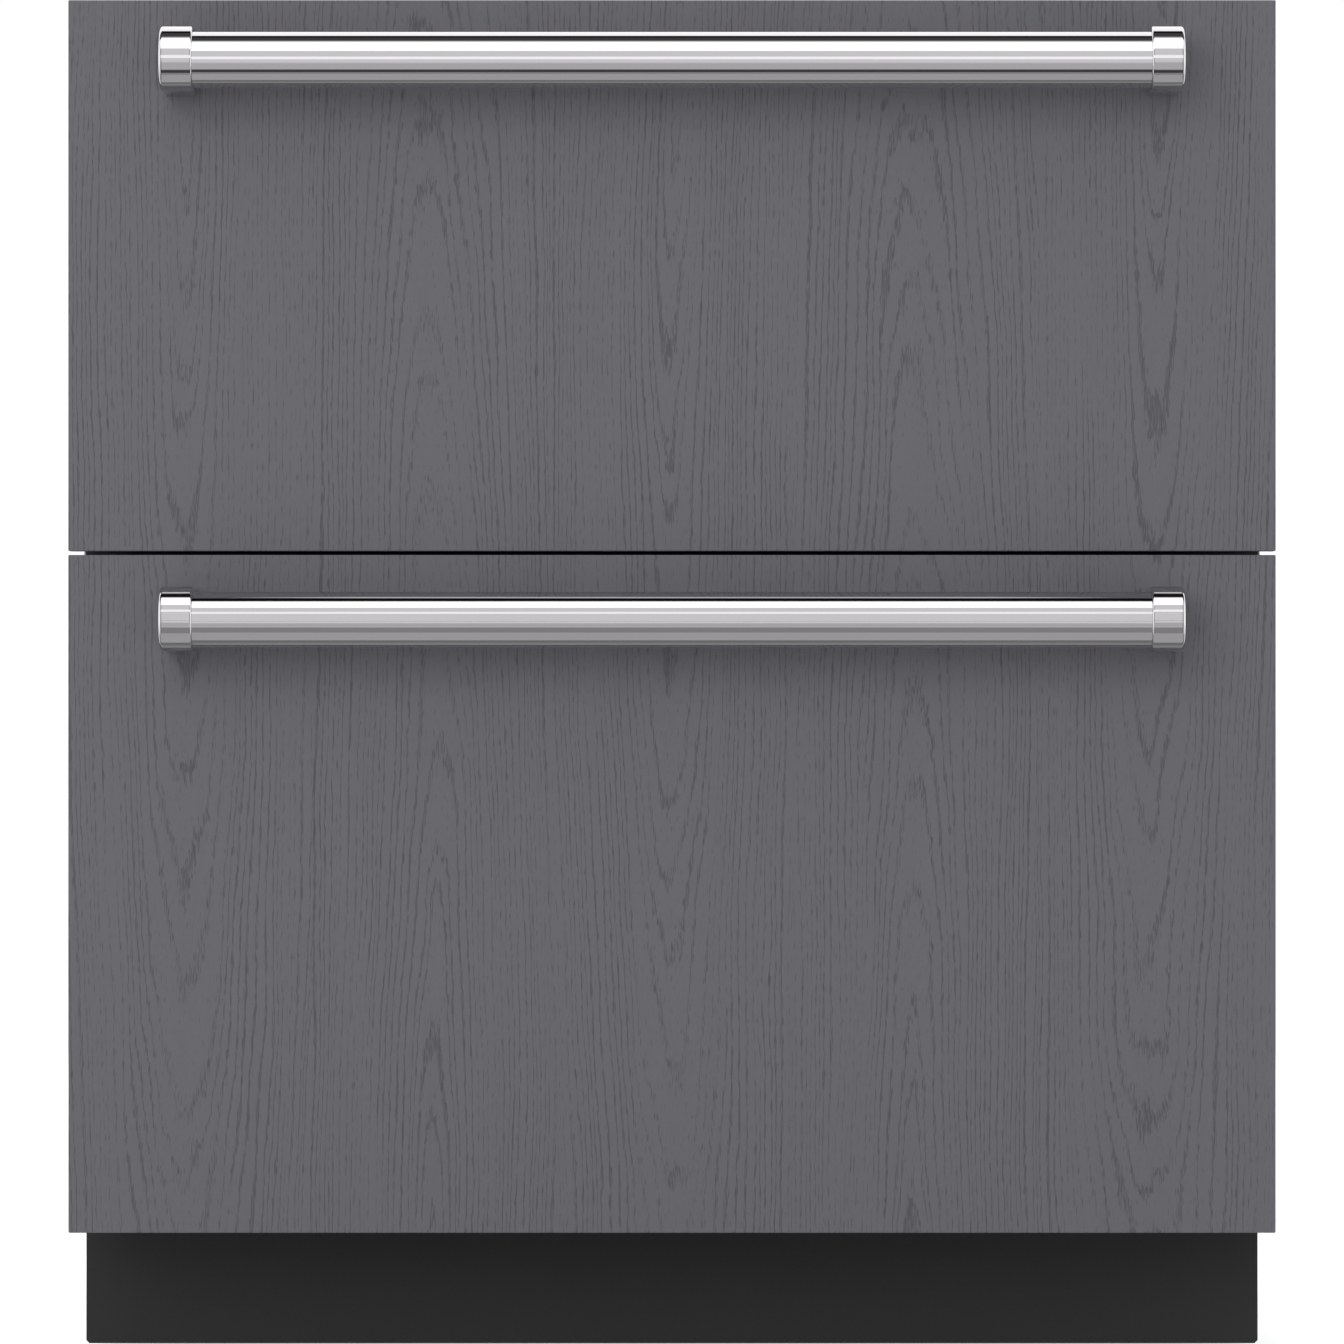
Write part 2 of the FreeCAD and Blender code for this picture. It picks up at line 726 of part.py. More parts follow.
# The insulated cabinet.
def build_cabinet():
    wrapper = new_body("cabinet_wrapper")
    depth = "y_back - y_cabinet_front"
    pad(
        wrapper, "Y", "y_cabinet_front", depth,
        outline(
            ("-half_width", "z_cabinet_bottom"), ("-half_foam", "z_cabinet_bottom"),
            ("-half_foam", "z_cabinet_top - sheet_gauge"), ("half_foam", "z_cabinet_top - sheet_gauge"),
            ("half_foam", "z_cabinet_bottom"), ("half_width", "z_cabinet_bottom"),
            ("half_width", "z_cabinet_top"), ("-half_width", "z_cabinet_top"),
        ),
    )

    back = new_body("back_panel")
    low = "machine_top_height - sheet_gauge"
    pad(back, "Y", "y_foam_back", "sheet_gauge", centred("half_foam", low, "z_cabinet_top - sheet_gauge"))

    foam_low = "z_cabinet_bottom + sheet_gauge"
    floor = new_body("floor_pan")
    pad(
        floor, "X", "-half_foam", "2 * half_foam",
        outline(
            ("y_foam_front", "z_cabinet_bottom"), ("y_notch + sheet_gauge", "z_cabinet_bottom"),
            ("y_notch + sheet_gauge", "machine_top_height - sheet_gauge"),
            ("y_foam_back", "machine_top_height - sheet_gauge"), ("y_foam_back", "machine_top_height"),
            ("y_notch", "machine_top_height"), ("y_notch", foam_low), ("y_foam_front", foam_low),
        ),
    )
    tube_holes(floor, "machine_top_height - sheet_gauge", "sheet_gauge")

    upper_outer = outline(
        ("y_foam_front", "z_upper_floor - liner_wall"),
        ("y_cavity_back + liner_wall", "z_upper_floor - liner_wall"),
        ("y_cavity_back + liner_wall", "z_upper_ceiling + liner_wall"),
        ("y_foam_front", "z_upper_ceiling + liner_wall"),
    )
    upper_inner = rectangle("y_foam_front", "z_upper_floor", "y_cavity_back", "z_upper_ceiling")
    lower_outer = outline(
        ("y_foam_front", "z_lower_floor - liner_wall"), ("y_step + liner_wall", "z_lower_floor - liner_wall"),
        ("y_step + liner_wall", "z_step - liner_wall"), ("y_cavity_back + liner_wall", "z_step - liner_wall"),
        ("y_cavity_back + liner_wall", "z_lower_ceiling + liner_wall"),
        ("y_foam_front", "z_lower_ceiling + liner_wall"),
    )
    lower_inner = outline(
        ("y_foam_front", "z_lower_floor"), ("y_step", "z_lower_floor"), ("y_step", "z_step"),
        ("y_cavity_back", "z_step"), ("y_cavity_back", "z_lower_ceiling"),
        ("y_foam_front", "z_lower_ceiling"),
    )

    foam = new_body("foam_body")
    pad(
        foam, "X", "-half_foam", "2 * half_foam",
        outline(
            ("y_foam_front", foam_low), ("y_notch", foam_low), ("y_notch", "machine_top_height"),
            ("y_foam_back", "machine_top_height"), ("y_foam_back", "z_cabinet_top - sheet_gauge"),
            ("y_foam_front", "z_cabinet_top - sheet_gauge"),
        ),
    )
    liner_half = "(half_cavity + liner_wall)"
    pocket(foam, "X", f"-{liner_half}", f"2 * {liner_half}", upper_outer)
    pocket(foam, "X", f"-{liner_half}", f"2 * {liner_half}", lower_outer)
    duct_hole(foam, "z_lower_ceiling + liner_wall", "z_upper_floor - z_lower_ceiling - 2 * liner_wall")
    tube_holes(foam, "machine_top_height", "step_insulation")

    upper = new_body("upper_liner")
    pad(upper, "X", f"-{liner_half}", f"2 * {liner_half}", upper_outer)
    pocket(upper, "X", "-half_cavity", "2 * half_cavity", upper_inner)
    duct_hole(upper, "z_upper_floor - liner_wall", "liner_wall")

    lower = new_body("lower_liner")
    pad(lower, "X", f"-{liner_half}", f"2 * {liner_half}", lower_outer)
    pocket(lower, "X", "-half_cavity", "2 * half_cavity", lower_inner)
    duct_hole(lower, "z_lower_ceiling", "liner_wall")
    tube_holes(lower, "z_step - liner_wall", "liner_wall")

    frame = new_body("face_frame")
    pad(
        frame, "Y", "y_cabinet_front", "sheet_gauge",
        centred("half_foam", "z_cabinet_bottom", "z_cabinet_top - sheet_gauge"),
        centred("half_cavity", "z_upper_floor", "z_upper_ceiling"),
        centred("half_cavity", "z_lower_floor", "z_lower_ceiling"),
    )

    duct = new_body("air_duct")
    outer = duct_outline("duct_width / 2", "duct_depth / 2")
    inner = duct_outline("duct_width / 2 - duct_wall", "duct_depth / 2 - duct_wall")
    pad(duct, "Z", "z_lower_ceiling", "z_upper_floor - z_lower_ceiling", outer, inner)


def duct_outline(half_width, half_depth):
    middle = "(y_cavity_back - duct_rear_gap - duct_depth / 2)"
    return rectangle(
        f"-duct_offset - ({half_width})", f"{middle} - ({half_depth})",
        f"-duct_offset + ({half_width})", f"{middle} + ({half_depth})",
    )


def duct_hole(body, start, length):
    """The passage that takes cold air through the shelf between the two compartments."""
    pocket(body, "Z", start, length, duct_outline("duct_width / 2", "duct_depth / 2"))


# The tubes rise under the return bends at the two ends of the evaporator.
TUBE_PLACES = (
    "-evaporator_offset - evaporator_width / 2 + bend_gauge / 2",
    "-evaporator_offset + evaporator_width / 2 - bend_gauge / 2",
)


def tube_holes(body, start, length):
    """Room for the two refrigerant tubes that rise from the compressor compartment to the evaporator."""
    room = "tube_diameter + 2 * tube_room"
    pocket(body, "Z", start, length, *[disc(x, "y_tubes", room) for x in TUBE_PLACES])


# The base, its feet and the plinth.
def build_base():
    rail = new_body("base_rails")
    pad(
        rail, "Y", "y_base_front", "y_foam_back - y_base_front",
        rectangle("-half_foam", "base_clearance", "-half_tray", "z_cabinet_bottom"),
        rectangle("base_wall - half_foam", "base_clearance + base_wall",
                  "-half_tray - base_wall", "z_cabinet_bottom - base_wall"),
    )
    for y in FOOT_PLACES.values():
        pad(rail, "Z", "base_clearance", "foot_boss_height", disc(FOOT_SIDE, y, "foot_boss"))
        bore = "foot_stem + 2 * foot_clearance"
        pocket(rail, "Z", "base_clearance", "foot_boss_height", disc(FOOT_SIDE, y, bore))
    pair("base_rails", rail)

    cross = new_body("base_cross_member")
    inner_face = "y_base_front + base_rail_width"
    low = "base_clearance + tray_lift"
    pad(
        cross, "X", "-half_tray", "2 * half_tray",
        outline(
            ("y_base_front", low), (inner_face, low), (inner_face, f"{low} + base_wall"),
            ("y_base_front + base_wall", f"{low} + base_wall"),
            ("y_base_front + base_wall", "z_cabinet_bottom - base_wall"),
            (inner_face, "z_cabinet_bottom - base_wall"), (inner_face, "z_cabinet_bottom"),
            ("y_base_front", "z_cabinet_bottom"),
        ),
    )

    kick = new_body("kick_plate")
    half = "half_kick"
    foot = "kick_clearance"
    top = "z_cabinet_bottom - kick_gap"
    pad(
        kick, "Y", "y_kick", "kick_gauge",
        outline(
            (f"kick_corner - {half}", foot), (f"{half} - kick_corner", foot), (half, f"{foot} + kick_corner"),
            (half, top), (f"-{half}", top), (f"-{half}", f"{foot} + kick_corner"),
        ),
    )
    pad(kick, "Z", foot, "kick_gauge", centred(f"{half} - kick_corner", "y_kick", "y_kick + kick_return"))

    tray = new_body("machine_tray")
    floor = "base_clearance + tray_lift"
    start = "y_notch - base_rail_width"
    pad(
        tray, "Y", start, f"y_foam_back - ({start})",
        outline(
            ("-half_tray", floor), ("half_tray", floor), ("half_tray", f"{floor} + tray_flange"),
            ("half_tray - tray_gauge", f"{floor} + tray_flange"), ("half_tray - tray_gauge", "z_tray"),
            ("tray_gauge - half_tray", "z_tray"), ("tray_gauge - half_tray", f"{floor} + tray_flange"),
            ("-half_tray", f"{floor} + tray_flange"),
        ),
    )


FOOT_SIDE = "-half_foam + base_rail_width / 2"
FOOT_PLACES = {
    "front": "y_base_front + foot_front_setback",
    "rear": "y_foam_back - foot_rear_setback",
}


def build_feet():
    for end, y in FOOT_PLACES.items():
        for side, x in (("left", FOOT_SIDE), ("right", "half_foam - base_rail_width / 2")):
            foot = new_body(f"foot_{end}_{side}")
            set_place(foot, x, y)
            pad(foot, "Z", "0", "foot_pad_height", disc("0", "0", "foot_diameter"))
            soften(foot, "Chamfer", "foot_pad_height / 3", lambda edge: edge.CenterOfMass.z > 1)
            hexagon = [
                (f"foot_collar / 2 * cos({angle})", f"foot_collar / 2 * sin({angle})")
                for angle in range(0, 360, 60)
            ]
            pad(foot, "Z", "0", "base_clearance", outline(*hexagon))
            pad(foot, "Z", "0", "base_clearance + foot_stem_reach", disc("0", "0", "foot_stem"))


# Counter brackets on the roof of the cabinet.
def build_brackets():
    body = new_body("counter_brackets")
    front = "y_cabinet_front - bracket_overhang"
    left = "-bracket_offset - bracket_width / 2"
    plate = rectangle(left, front, f"{left} + bracket_width", f"{front} + bracket_length")
    pad(body, "Z", "z_cabinet_top", "bracket_gauge", plate)
    soften(body, "Fillet", "bracket_overhang / 4", lambda edge: runs_along(edge, ALONG_Z))
    hole_row = f"{front} + bracket_overhang / 2"
    pocket(
        body, "Z", "z_cabinet_top", "bracket_gauge",
        disc("-bracket_offset - bracket_hole_spacing / 2", hole_row, "bracket_hole"),
        disc("-bracket_offset + bracket_hole_spacing / 2", hole_row, "bracket_hole"),
    )
    pair("counter_brackets", body)


# Control panel, its buttons and the lights.
def build_controls():
    body = new_body("control_panel")
    front = "(y_cabinet_front + control_setback)"
    low = "z_upper_ceiling - control_height"
    pad(
        body, "X", "-control_length / 2", "control_length",
        outline(
            (front, low), (f"{front} + control_depth / 2", low),
            (f"{front} + control_depth", "z_upper_ceiling"), (front, "z_upper_ceiling"),
        ),
    )
    centre = "z_upper_ceiling - control_height / 2"
    buttons = {"button_colder": "-button_pitch", "button_power": "0", "button_warmer": "button_pitch"}
    sides = []
    for x in buttons.values():
        half_u = "(button_width / 2 + button_clearance)"
        half_v = "(button_height / 2 + button_clearance)"
        sides.append(rectangle(
            f"{x} - {half_u}", f"{centre} - {half_v}", f"{x} + {half_u}", f"{centre} + {half_v}",
        ))
    pocket(body, "Y", front, "button_depth - button_proud + button_room", *sides)
    for label, x in buttons.items():
        button = new_body(label)
        set_place(button, x, f"{front} - button_proud", centre)
        key = rectangle("-button_width / 2", "-button_height / 2", "button_width / 2", "button_height / 2")
        pad(button, "Y", "0", "button_depth", key)
        soften(button, "Fillet", "button_proud / 2", lambda edge: edge.BoundBox.YMax < 0.01)

    lamps = []
    for name, at in DRAWERS.items():
        lamp = new_body(name + "_light")
        start = f"{at['ceiling']} - light_thickness"
        near = "y_cabinet_front + light_setback"
        pad(lamp, "Z", start, "light_thickness", centred("light_length / 2", near, f"{near} + light_width"))
        soften(lamp, "Fillet", "light_thickness / 2", lambda edge: edge.BoundBox.ZMax < number(start) + 0.01)
        lamps.append(lamp)
    grouped("cabin_lights", lamps)


# Fans. Each one is built about its own Z axis and then turned to blow along Y.
FAN_TURN = FreeCAD.Rotation(Vector(1, 0, 0), -90)


def build_fan(label, diameter, blades, x, y, z):
    fan = new_body(label)
    fan.Placement = FreeCAD.Placement(Vector(0, 0, 0), FAN_TURN)
    set_place(fan, x, y, z)
    pad(fan, "Z", "0", "fan_hub_length", disc("0", "0", "fan_hub_diameter"))
    soften(fan, "Chamfer", "fan_hub_length / 5", lambda edge: edge.BoundBox.ZMax < 0.01)
    shaft_end = "fan_hub_length + warm_fan_gap + cold_motor_length / 2"
    pad(fan, "Z", "0", shaft_end, disc("0", "0", "fan_shaft"))
    # A blade's section leans over by the pitch angle, between the two faces of the hub.
    half_rise = "(fan_hub_length / 2 - 1)"
    lean = f"({half_rise} / tan(fan_blade_pitch_angle))"
    middle = "fan_hub_length / 2"
    section = outline(
        (f"-{lean}", f"{middle} - {half_rise}"), (f"-{lean} + fan_blade_gauge", f"{middle} - {half_rise}"),
        (lean, f"{middle} + {half_rise}"), (f"{lean} - fan_blade_gauge", f"{middle} + {half_rise}"),
    )
    root = "fan_hub_diameter / 4"
    blade = pad(fan, "X", root, f"{diameter} / 2 - {root}", section)
    ring_of(fan, [blade], blades)


def build_motor(label, diameter, length, x, y, z):
    motor = new_body(label)
    motor.Placement = FreeCAD.Placement(Vector(0, 0, 0), FAN_TURN)
    set_place(motor, x, y, z)
    pad(motor, "Z", "0", length, disc("0", "0", diameter))
    soften(motor, "Chamfer", f"{diameter} / 12", lambda edge: edge.BoundBox.ZMax < 0.01)
    bore = "fan_shaft + 2 * shaft_clearance"
    pocket(motor, "Z", "0", "cold_motor_length / 2 + 2", disc("0", "0", bore))


# Finned coils: tubes run along X through a row of fins between two end plates.
def build_coil(label, x, width, y, depth, z, height, foot, pitch, rows):
    coil = new_body(label)
    left = f"({x} - {width} / 2)"
    right = f"({x} + {width} / 2)"
    levels = [f"({z} + {height} * {2 * row + 1} / {2 * rows})" for row in range(rows)]
    columns = [f"({y} + {depth} / 4)", f"({y} + {depth} * 3 / 4)"]
    for end in (f"{left} + 2 * bend_gauge", f"{right} - 2 * bend_gauge - end_plate_gauge"):
        pad(coil, "X", end, "end_plate_gauge", rectangle(y, foot, f"{y} + {depth}", f"{z} + {height}"))
    # Inside the fins the tubes are plain square runs, and outside the end plates they are round.
    side = "tube_diameter * 0.35"
    runs = [
        rectangle(f"{v} - {side}", f"{w} - {side}", f"{v} + {side}", f"{w} + {side}")
        for v in columns for w in levels
    ]
    pad(coil, "X", f"{left} + 2 * bend_gauge", f"{width} - 4 * bend_gauge", *runs)
    fin = pad(
        coil, "X", f"{left} + 3 * bend_gauge", "fin_gauge",
        rectangle(
            f"{y} + fin_inset", f"{z} + fin_inset",
            f"{y} + {depth} - fin_inset", f"{z} + {height} - fin_inset",
        ),
    )
    row_of(coil, [fin], "X", pitch, f"floor(({width} - 6 * bend_gauge) / {pitch})")
    ends = [disc(v, w, "tube_diameter") for v in columns for w in levels]
    pad(coil, "X", left, "2 * bend_gauge", *ends)
    pad(coil, "X", f"{right} - 2 * bend_gauge", "2 * bend_gauge", *ends)
    # Return bends join the tubes in pairs.
    low, high = columns
    bends = [
        rectangle(low, f"{w} - bend_gauge / 2", high, f"{w} + bend_gauge / 2")
        for w in levels
    ]
    pad(coil, "X", left, "bend_gauge", *bends)
    pad(coil, "X", f"{right} - bend_gauge", "bend_gauge", *bends)


def build_cold_unit():
    build_coil(
        "evaporator_coil", "-evaporator_offset", "evaporator_width", "(y_cavity_back - evaporator_depth)",
        "evaporator_depth", "(z_step + evaporator_lift)", "evaporator_height", "z_step",
        "evaporator_fin_pitch", 4,
    )
    build_motor("evaporator_fan_motor", "cold_motor_diameter", "cold_motor_length",
                "cold_fan_offset", "y_cold_motor", "z_cold_fan")
    build_fan("evaporator_fan", "cold_fan_diameter", 5, "cold_fan_offset", "y_cold_fan", "z_cold_fan")

    cover = new_body("evaporator_cover")
    half = "half_cover"
    pad(
        cover, "Z", "z_step", "z_lower_ceiling - z_step",
        outline(
            (f"-{half}", "y_cover"), (half, "y_cover"), (half, "y_cavity_back"),
            (f"{half} - cover_wall", "y_cavity_back"), (f"{half} - cover_wall", "y_cover + cover_wall"),
            (f"cover_wall - {half}", "y_cover + cover_wall"), (f"cover_wall - {half}", "y_cavity_back"),
            (f"-{half}", "y_cavity_back"),
        ),
    )
    soften(cover, "Fillet", "cover_wall * 2", lambda edge: is_cover_corner(edge, number("y_cover")))
    span = "7 * cover_slot_pitch"
    first = f"cold_fan_offset - {span} / 2"
    slot = pocket(
        cover, "Y", "y_cover", "cover_wall",
        rectangle(f"{first} - cover_slot / 2", "z_cold_fan - cold_fan_diameter * 0.4",
                  f"{first} + cover_slot / 2", "z_cold_fan + cold_fan_diameter * 0.4"),
    )
    row_of(cover, [slot], "X", "cover_slot_pitch", "8")
    inlet_first = "-evaporator_offset - 10 * cover_slot_pitch"
    inlet = pocket(
        cover, "Y", "y_cover", "cover_wall",
        rectangle(f"{inlet_first} - cover_slot / 2", "z_step + evaporator_lift",
                  f"{inlet_first} + cover_slot / 2", "z_step + evaporator_lift * 4"),
    )
    row_of(cover, [inlet], "X", "cover_slot_pitch", "21")


def is_cover_corner(edge, front):
    return runs_along(edge, ALONG_Z) and abs(edge.CenterOfMass.y - front) < 0.01


# The compressor compartment behind and below the lower compartment.
def grommet_discs(diameter):
    across = "(compressor_foot_width / 2 - grommet_inset)"
    along = "(compressor_foot_depth / 2 - grommet_inset)"
    return [disc(f"{u}{across}", f"{v}{along}", diameter) for u in ("", "-") for v in ("", "-")]


def build_compressor():
    shell = new_body("compressor")
    set_place(shell, "-compressor_offset", "y_compressor", "z_compressor")
    low = "compressor_foot_gauge / 2"
    high = f"({low} + compressor_height)"
    side = "compressor_diameter / 2"
    turned(
        shell,
        outline(
            ("0", low), (f"{side} - compressor_dome", low),
            (f"{side} - compressor_dome * 0.3", f"{low} + compressor_dome * 0.3"),
            (side, f"{low} + compressor_dome"), (side, f"{high} - compressor_dome"),
            (f"{side} - compressor_dome * 0.3", f"{high} - compressor_dome * 0.3"),
            (f"{side} - compressor_dome", high), ("0", high),
        ),
    )
    seam = "compressor_height * 0.55"
    flange = disc("0", "0", "compressor_diameter + 2 * compressor_foot_gauge")
    pad(shell, "Z", seam, "compressor_foot_gauge", flange)
    plate = rectangle(
        "-compressor_foot_width / 2", "-compressor_foot_depth / 2",
        "compressor_foot_width / 2", "compressor_foot_depth / 2",
    )
    pad(shell, "Z", "0", "compressor_foot_gauge", plate)
    pocket(shell, "Z", "0", "compressor_foot_gauge", *grommet_discs("grommet_diameter / 3"))
    stub_start = "compressor_height / 2"
    stub_length = f"z_stub - z_compressor - {stub_start}"
    pad(
        shell, "Z", stub_start, stub_length,
        disc("-compressor_diameter / 4", "y_tubes - y_compressor", "tube_diameter + 2"),
        disc("compressor_diameter / 4", "y_hot_tube - y_compressor", "tube_diameter + 2"),
    )
    # The terminal box is on the side that faces the cabinet.
    box = rectangle(
        "-compressor_diameter / 5", "-compressor_diameter * 0.6", "compressor_diameter / 5", "0",
    )
    pad(shell, "Z", "compressor_height * 0.2", "compressor_height * 0.28", box)

    grommets = new_body("compressor_grommets")
    set_place(grommets, "-compressor_offset", "y_compressor", "z_tray")
    pad(grommets, "Z", "0", "grommet_height", *grommet_discs("grommet_diameter"))
    pocket(grommets, "Z", "0", "grommet_height", *grommet_discs("grommet_diameter / 3"))


def build_condenser():
    build_coil(
        "condenser_coil", "condenser_offset", "condenser_width", "y_condenser", "condenser_depth",
        "z_tray", "condenser_height", "z_tray", "condenser_fin_pitch", 5,
    )
    shroud = new_body("fan_shroud")
    middle = "condenser_offset"
    side = "condenser_width / 2"
    pad(
        shroud, "Y", "y_shroud", "shroud_depth",
        rectangle(f"{middle} - {side}", "z_tray", f"{middle} + {side}", "z_tray + condenser_height"),
        disc(middle, "z_warm_fan", "warm_fan_diameter + 4 * shroud_gauge"),
    )
    # A strap behind the fan carries its motor.
    near = "y_shroud + shroud_depth"
    far = "y_warm_motor + warm_motor_length"
    reach = "(condenser_height / 2 - shroud_gauge)"
    pad(
        shroud, "X", f"{middle} - fan_hub_diameter / 4", "fan_hub_diameter / 2",
        outline(
            (near, f"z_warm_fan - {reach}"), (f"{far} + shroud_gauge", f"z_warm_fan - {reach}"),
            (f"{far} + shroud_gauge", f"z_warm_fan + {reach}"), (near, f"z_warm_fan + {reach}"),
            (near, f"z_warm_fan + {reach} - shroud_gauge"), (far, f"z_warm_fan + {reach} - shroud_gauge"),
            (far, f"z_warm_fan - {reach} + shroud_gauge"), (near, f"z_warm_fan - {reach} + shroud_gauge"),
        ),
    )
    build_motor(
        "condenser_fan_motor", "warm_motor_diameter", "warm_motor_length",
        middle, "y_warm_motor", "z_warm_fan",
    )
    build_fan("condenser_fan", "warm_fan_diameter", 5, middle, "y_warm_fan", "z_warm_fan")


def tube(path, diameter):
    """A round tube through the corners of the path, with a bend of one radius at each corner."""
    corners = [Vector(*[number(value) for value in corner]) for corner in path]
    bend = number("tube_bend")
    edges = []
    start = corners[0]
    for before, corner, after in zip(corners, corners[1:], corners[2:]):
        into = (corner - before).normalize()
        out = (after - corner).normalize()
        turn = into.getAngle(out)
        reach = bend * math.tan(turn / 2)
        leave = corner - into * reach
        join = corner + out * reach
        inward = (out - into).normalize()
        middle = corner + inward * (bend / math.cos(turn / 2) - bend)
        edges.append(Part.LineSegment(start, leave).toShape())
        edges.append(Part.Arc(leave, middle, join).toShape())
        start = join
    edges.append(Part.LineSegment(start, corners[-1]).toShape())
    spine = Part.Wire(edges)
    ring = Part.Wire(Part.Circle(corners[0], corners[1] - corners[0], number(diameter) / 2).toShape())
    return spine.makePipeShell([ring], True, False)


def build_lines():
    """The suction, hot gas and liquid tubes, with the filter drier brazed into the liquid tube."""
    cold_left, cold_right = TUBE_PLACES
    cold_end = "z_step + evaporator_lift + evaporator_height / 8 - bend_gauge / 2"
    warm_end = "z_tray + condenser_height * 0.9 + bend_gauge / 2"
    warm_left = "condenser_offset - condenser_width / 2 + bend_gauge / 2"
    warm_right = "condenser_offset + condenser_width / 2 - bend_gauge / 2"
    suction_stub = "-compressor_offset - compressor_diameter / 4"
    hot_stub = "-compressor_offset + compressor_diameter / 4"
    suction = tube([
        (suction_stub, "y_tubes", "z_stub"), (suction_stub, "y_tubes", "z_tube_run"),
        (cold_left, "y_tubes", "z_tube_run"), (cold_left, "y_tubes", cold_end),
    ], "tube_diameter")
    hot = tube([
        (hot_stub, "y_hot_tube", "z_stub"), (hot_stub, "y_hot_tube", "z_hot_run"),
        (warm_left, "y_hot_tube", "z_hot_run"), (warm_left, "y_hot_tube", warm_end),
    ], "tube_diameter")
    liquid = tube([
        (warm_right, "y_hot_tube", warm_end), (warm_right, "y_hot_tube", "z_tube_run"),
        (cold_right, "y_tubes", "z_tube_run"), (cold_right, "y_tubes", cold_end),
    ], "tube_diameter")
    near = Vector(number(warm_right), number("y_hot_tube"), number("z_tube_run"))
    far = Vector(number(cold_right), number("y_tubes"), number("z_tube_run"))
    run = far - near
    drier = Part.makeCylinder(number("drier_diameter") / 2, run.Length * 0.4, near + run * 0.3, run)
    lines = doc.addObject("Part::Feature", "refrigerant_lines")
    lines.Label = "refrigerant_lines"
    lines.Shape = Part.makeCompound([suction, hot, liquid.fuse(drier).removeSplitter()])
    nodes.append(lines)


def build_machine_room():
    pan = new_body("drain_pan")
    left = "-room_width / 2"
    front = "(y_compressor - drain_pan_depth / 2)"
    pad(
        pan, "Z", "z_tray", "drain_pan_height",
        rectangle(left, front, f"{left} + room_width", f"{front} + drain_pan_depth"),
    )
    soften(pan, "Fillet", "drain_pan_wall * 4", lambda edge: runs_along(edge, ALONG_Z))
    pocket(
        pan, "Z", "z_tray + drain_pan_wall", "drain_pan_height",
        rectangle(f"{left} + drain_pan_wall", f"{front} + drain_pan_wall",
                  f"{left} + room_width - drain_pan_wall",
                  f"{front} + drain_pan_depth - drain_pan_wall"),
    )

    box = new_body("control_box")
    low = "z_hot_run - tube_bend - control_box_height"
    pad(
        box, "Z", low, "control_box_height",
        centred(
            "room_width / 2", "y_notch + sheet_gauge",
            "y_notch + sheet_gauge + control_box_depth",
        ),
    )
    wall = number("y_notch + sheet_gauge")
    soften(box, "Fillet", "control_box_depth / 8", lambda edge: edge.CenterOfMass.y > wall + 1)

    cover = new_body("rear_cover")
    cover_low = "base_clearance"
    cover_high = "machine_top_height - sheet_gauge"
    gland_x = "-compressor_offset - compressor_diameter * 0.8"
    gland_z = "z_tube_run - gland_diameter * 2"
    pad(
        cover, "Y", "y_foam_back", "sheet_gauge",
        centred("half_foam", cover_low, cover_high),
        disc(gland_x, gland_z, "gland_diameter + 2 * shaft_clearance"),
    )
    slot_low = "z_tray + louvre_pitch"
    for middle in ("condenser_offset", "-compressor_offset + louvre_width / 4"):
        slot = pocket(
            cover, "Y", "y_foam_back", "sheet_gauge",
            rectangle(f"{middle} - louvre_width / 2", slot_low,
                      f"{middle} + louvre_width / 2", f"{slot_low} + louvre_height"),
        )
        row_of(cover, [slot], "Z", "louvre_pitch", "floor((machine_top_height - z_tray) / louvre_pitch) - 5")

    inlet = new_body("power_inlet")
    pad(
        inlet, "Y", "y_back - gland_length", "gland_length",
        disc(gland_x, gland_z, "gland_diameter"), disc(gland_x, gland_z, "gland_bore"),
    )
    pad(
        inlet, "Y", "y_back - gland_length", "gland_length - sheet_gauge",
        disc(gland_x, gland_z, "gland_diameter + 8"), disc(gland_x, gland_z, "gland_bore"),
    )


for drawer, heights in DRAWERS.items():
    build_panel(drawer, heights)
    build_handle(drawer, heights)
    build_front(drawer, heights)
    build_bin(drawer, heights)
    build_slides(drawer, heights)
build_divider(DRAWERS["upper"])
build_cabinet()
build_base()
build_feet()
build_brackets()
build_controls()
build_cold_unit()
build_compressor()
build_condenser()
build_lines()
build_machine_room()
doc.recompute()

for item in doc.Objects:
    if "Invalid" in item.State or "Error" in item.State:
        raise RuntimeError(f"{item.Label} did not build")
os.makedirs("parts", exist_ok=True)
for node in nodes:
    if node.Shape.isNull() or not node.Shape.isValid():
        raise RuntimeError(f"{node.Label} has no sound shape")
    node.Shape.exportStep(f"parts/{node.Label}.step")
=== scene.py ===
import json
import math

import bmesh
import bpy
from mathutils import Matrix, Vector

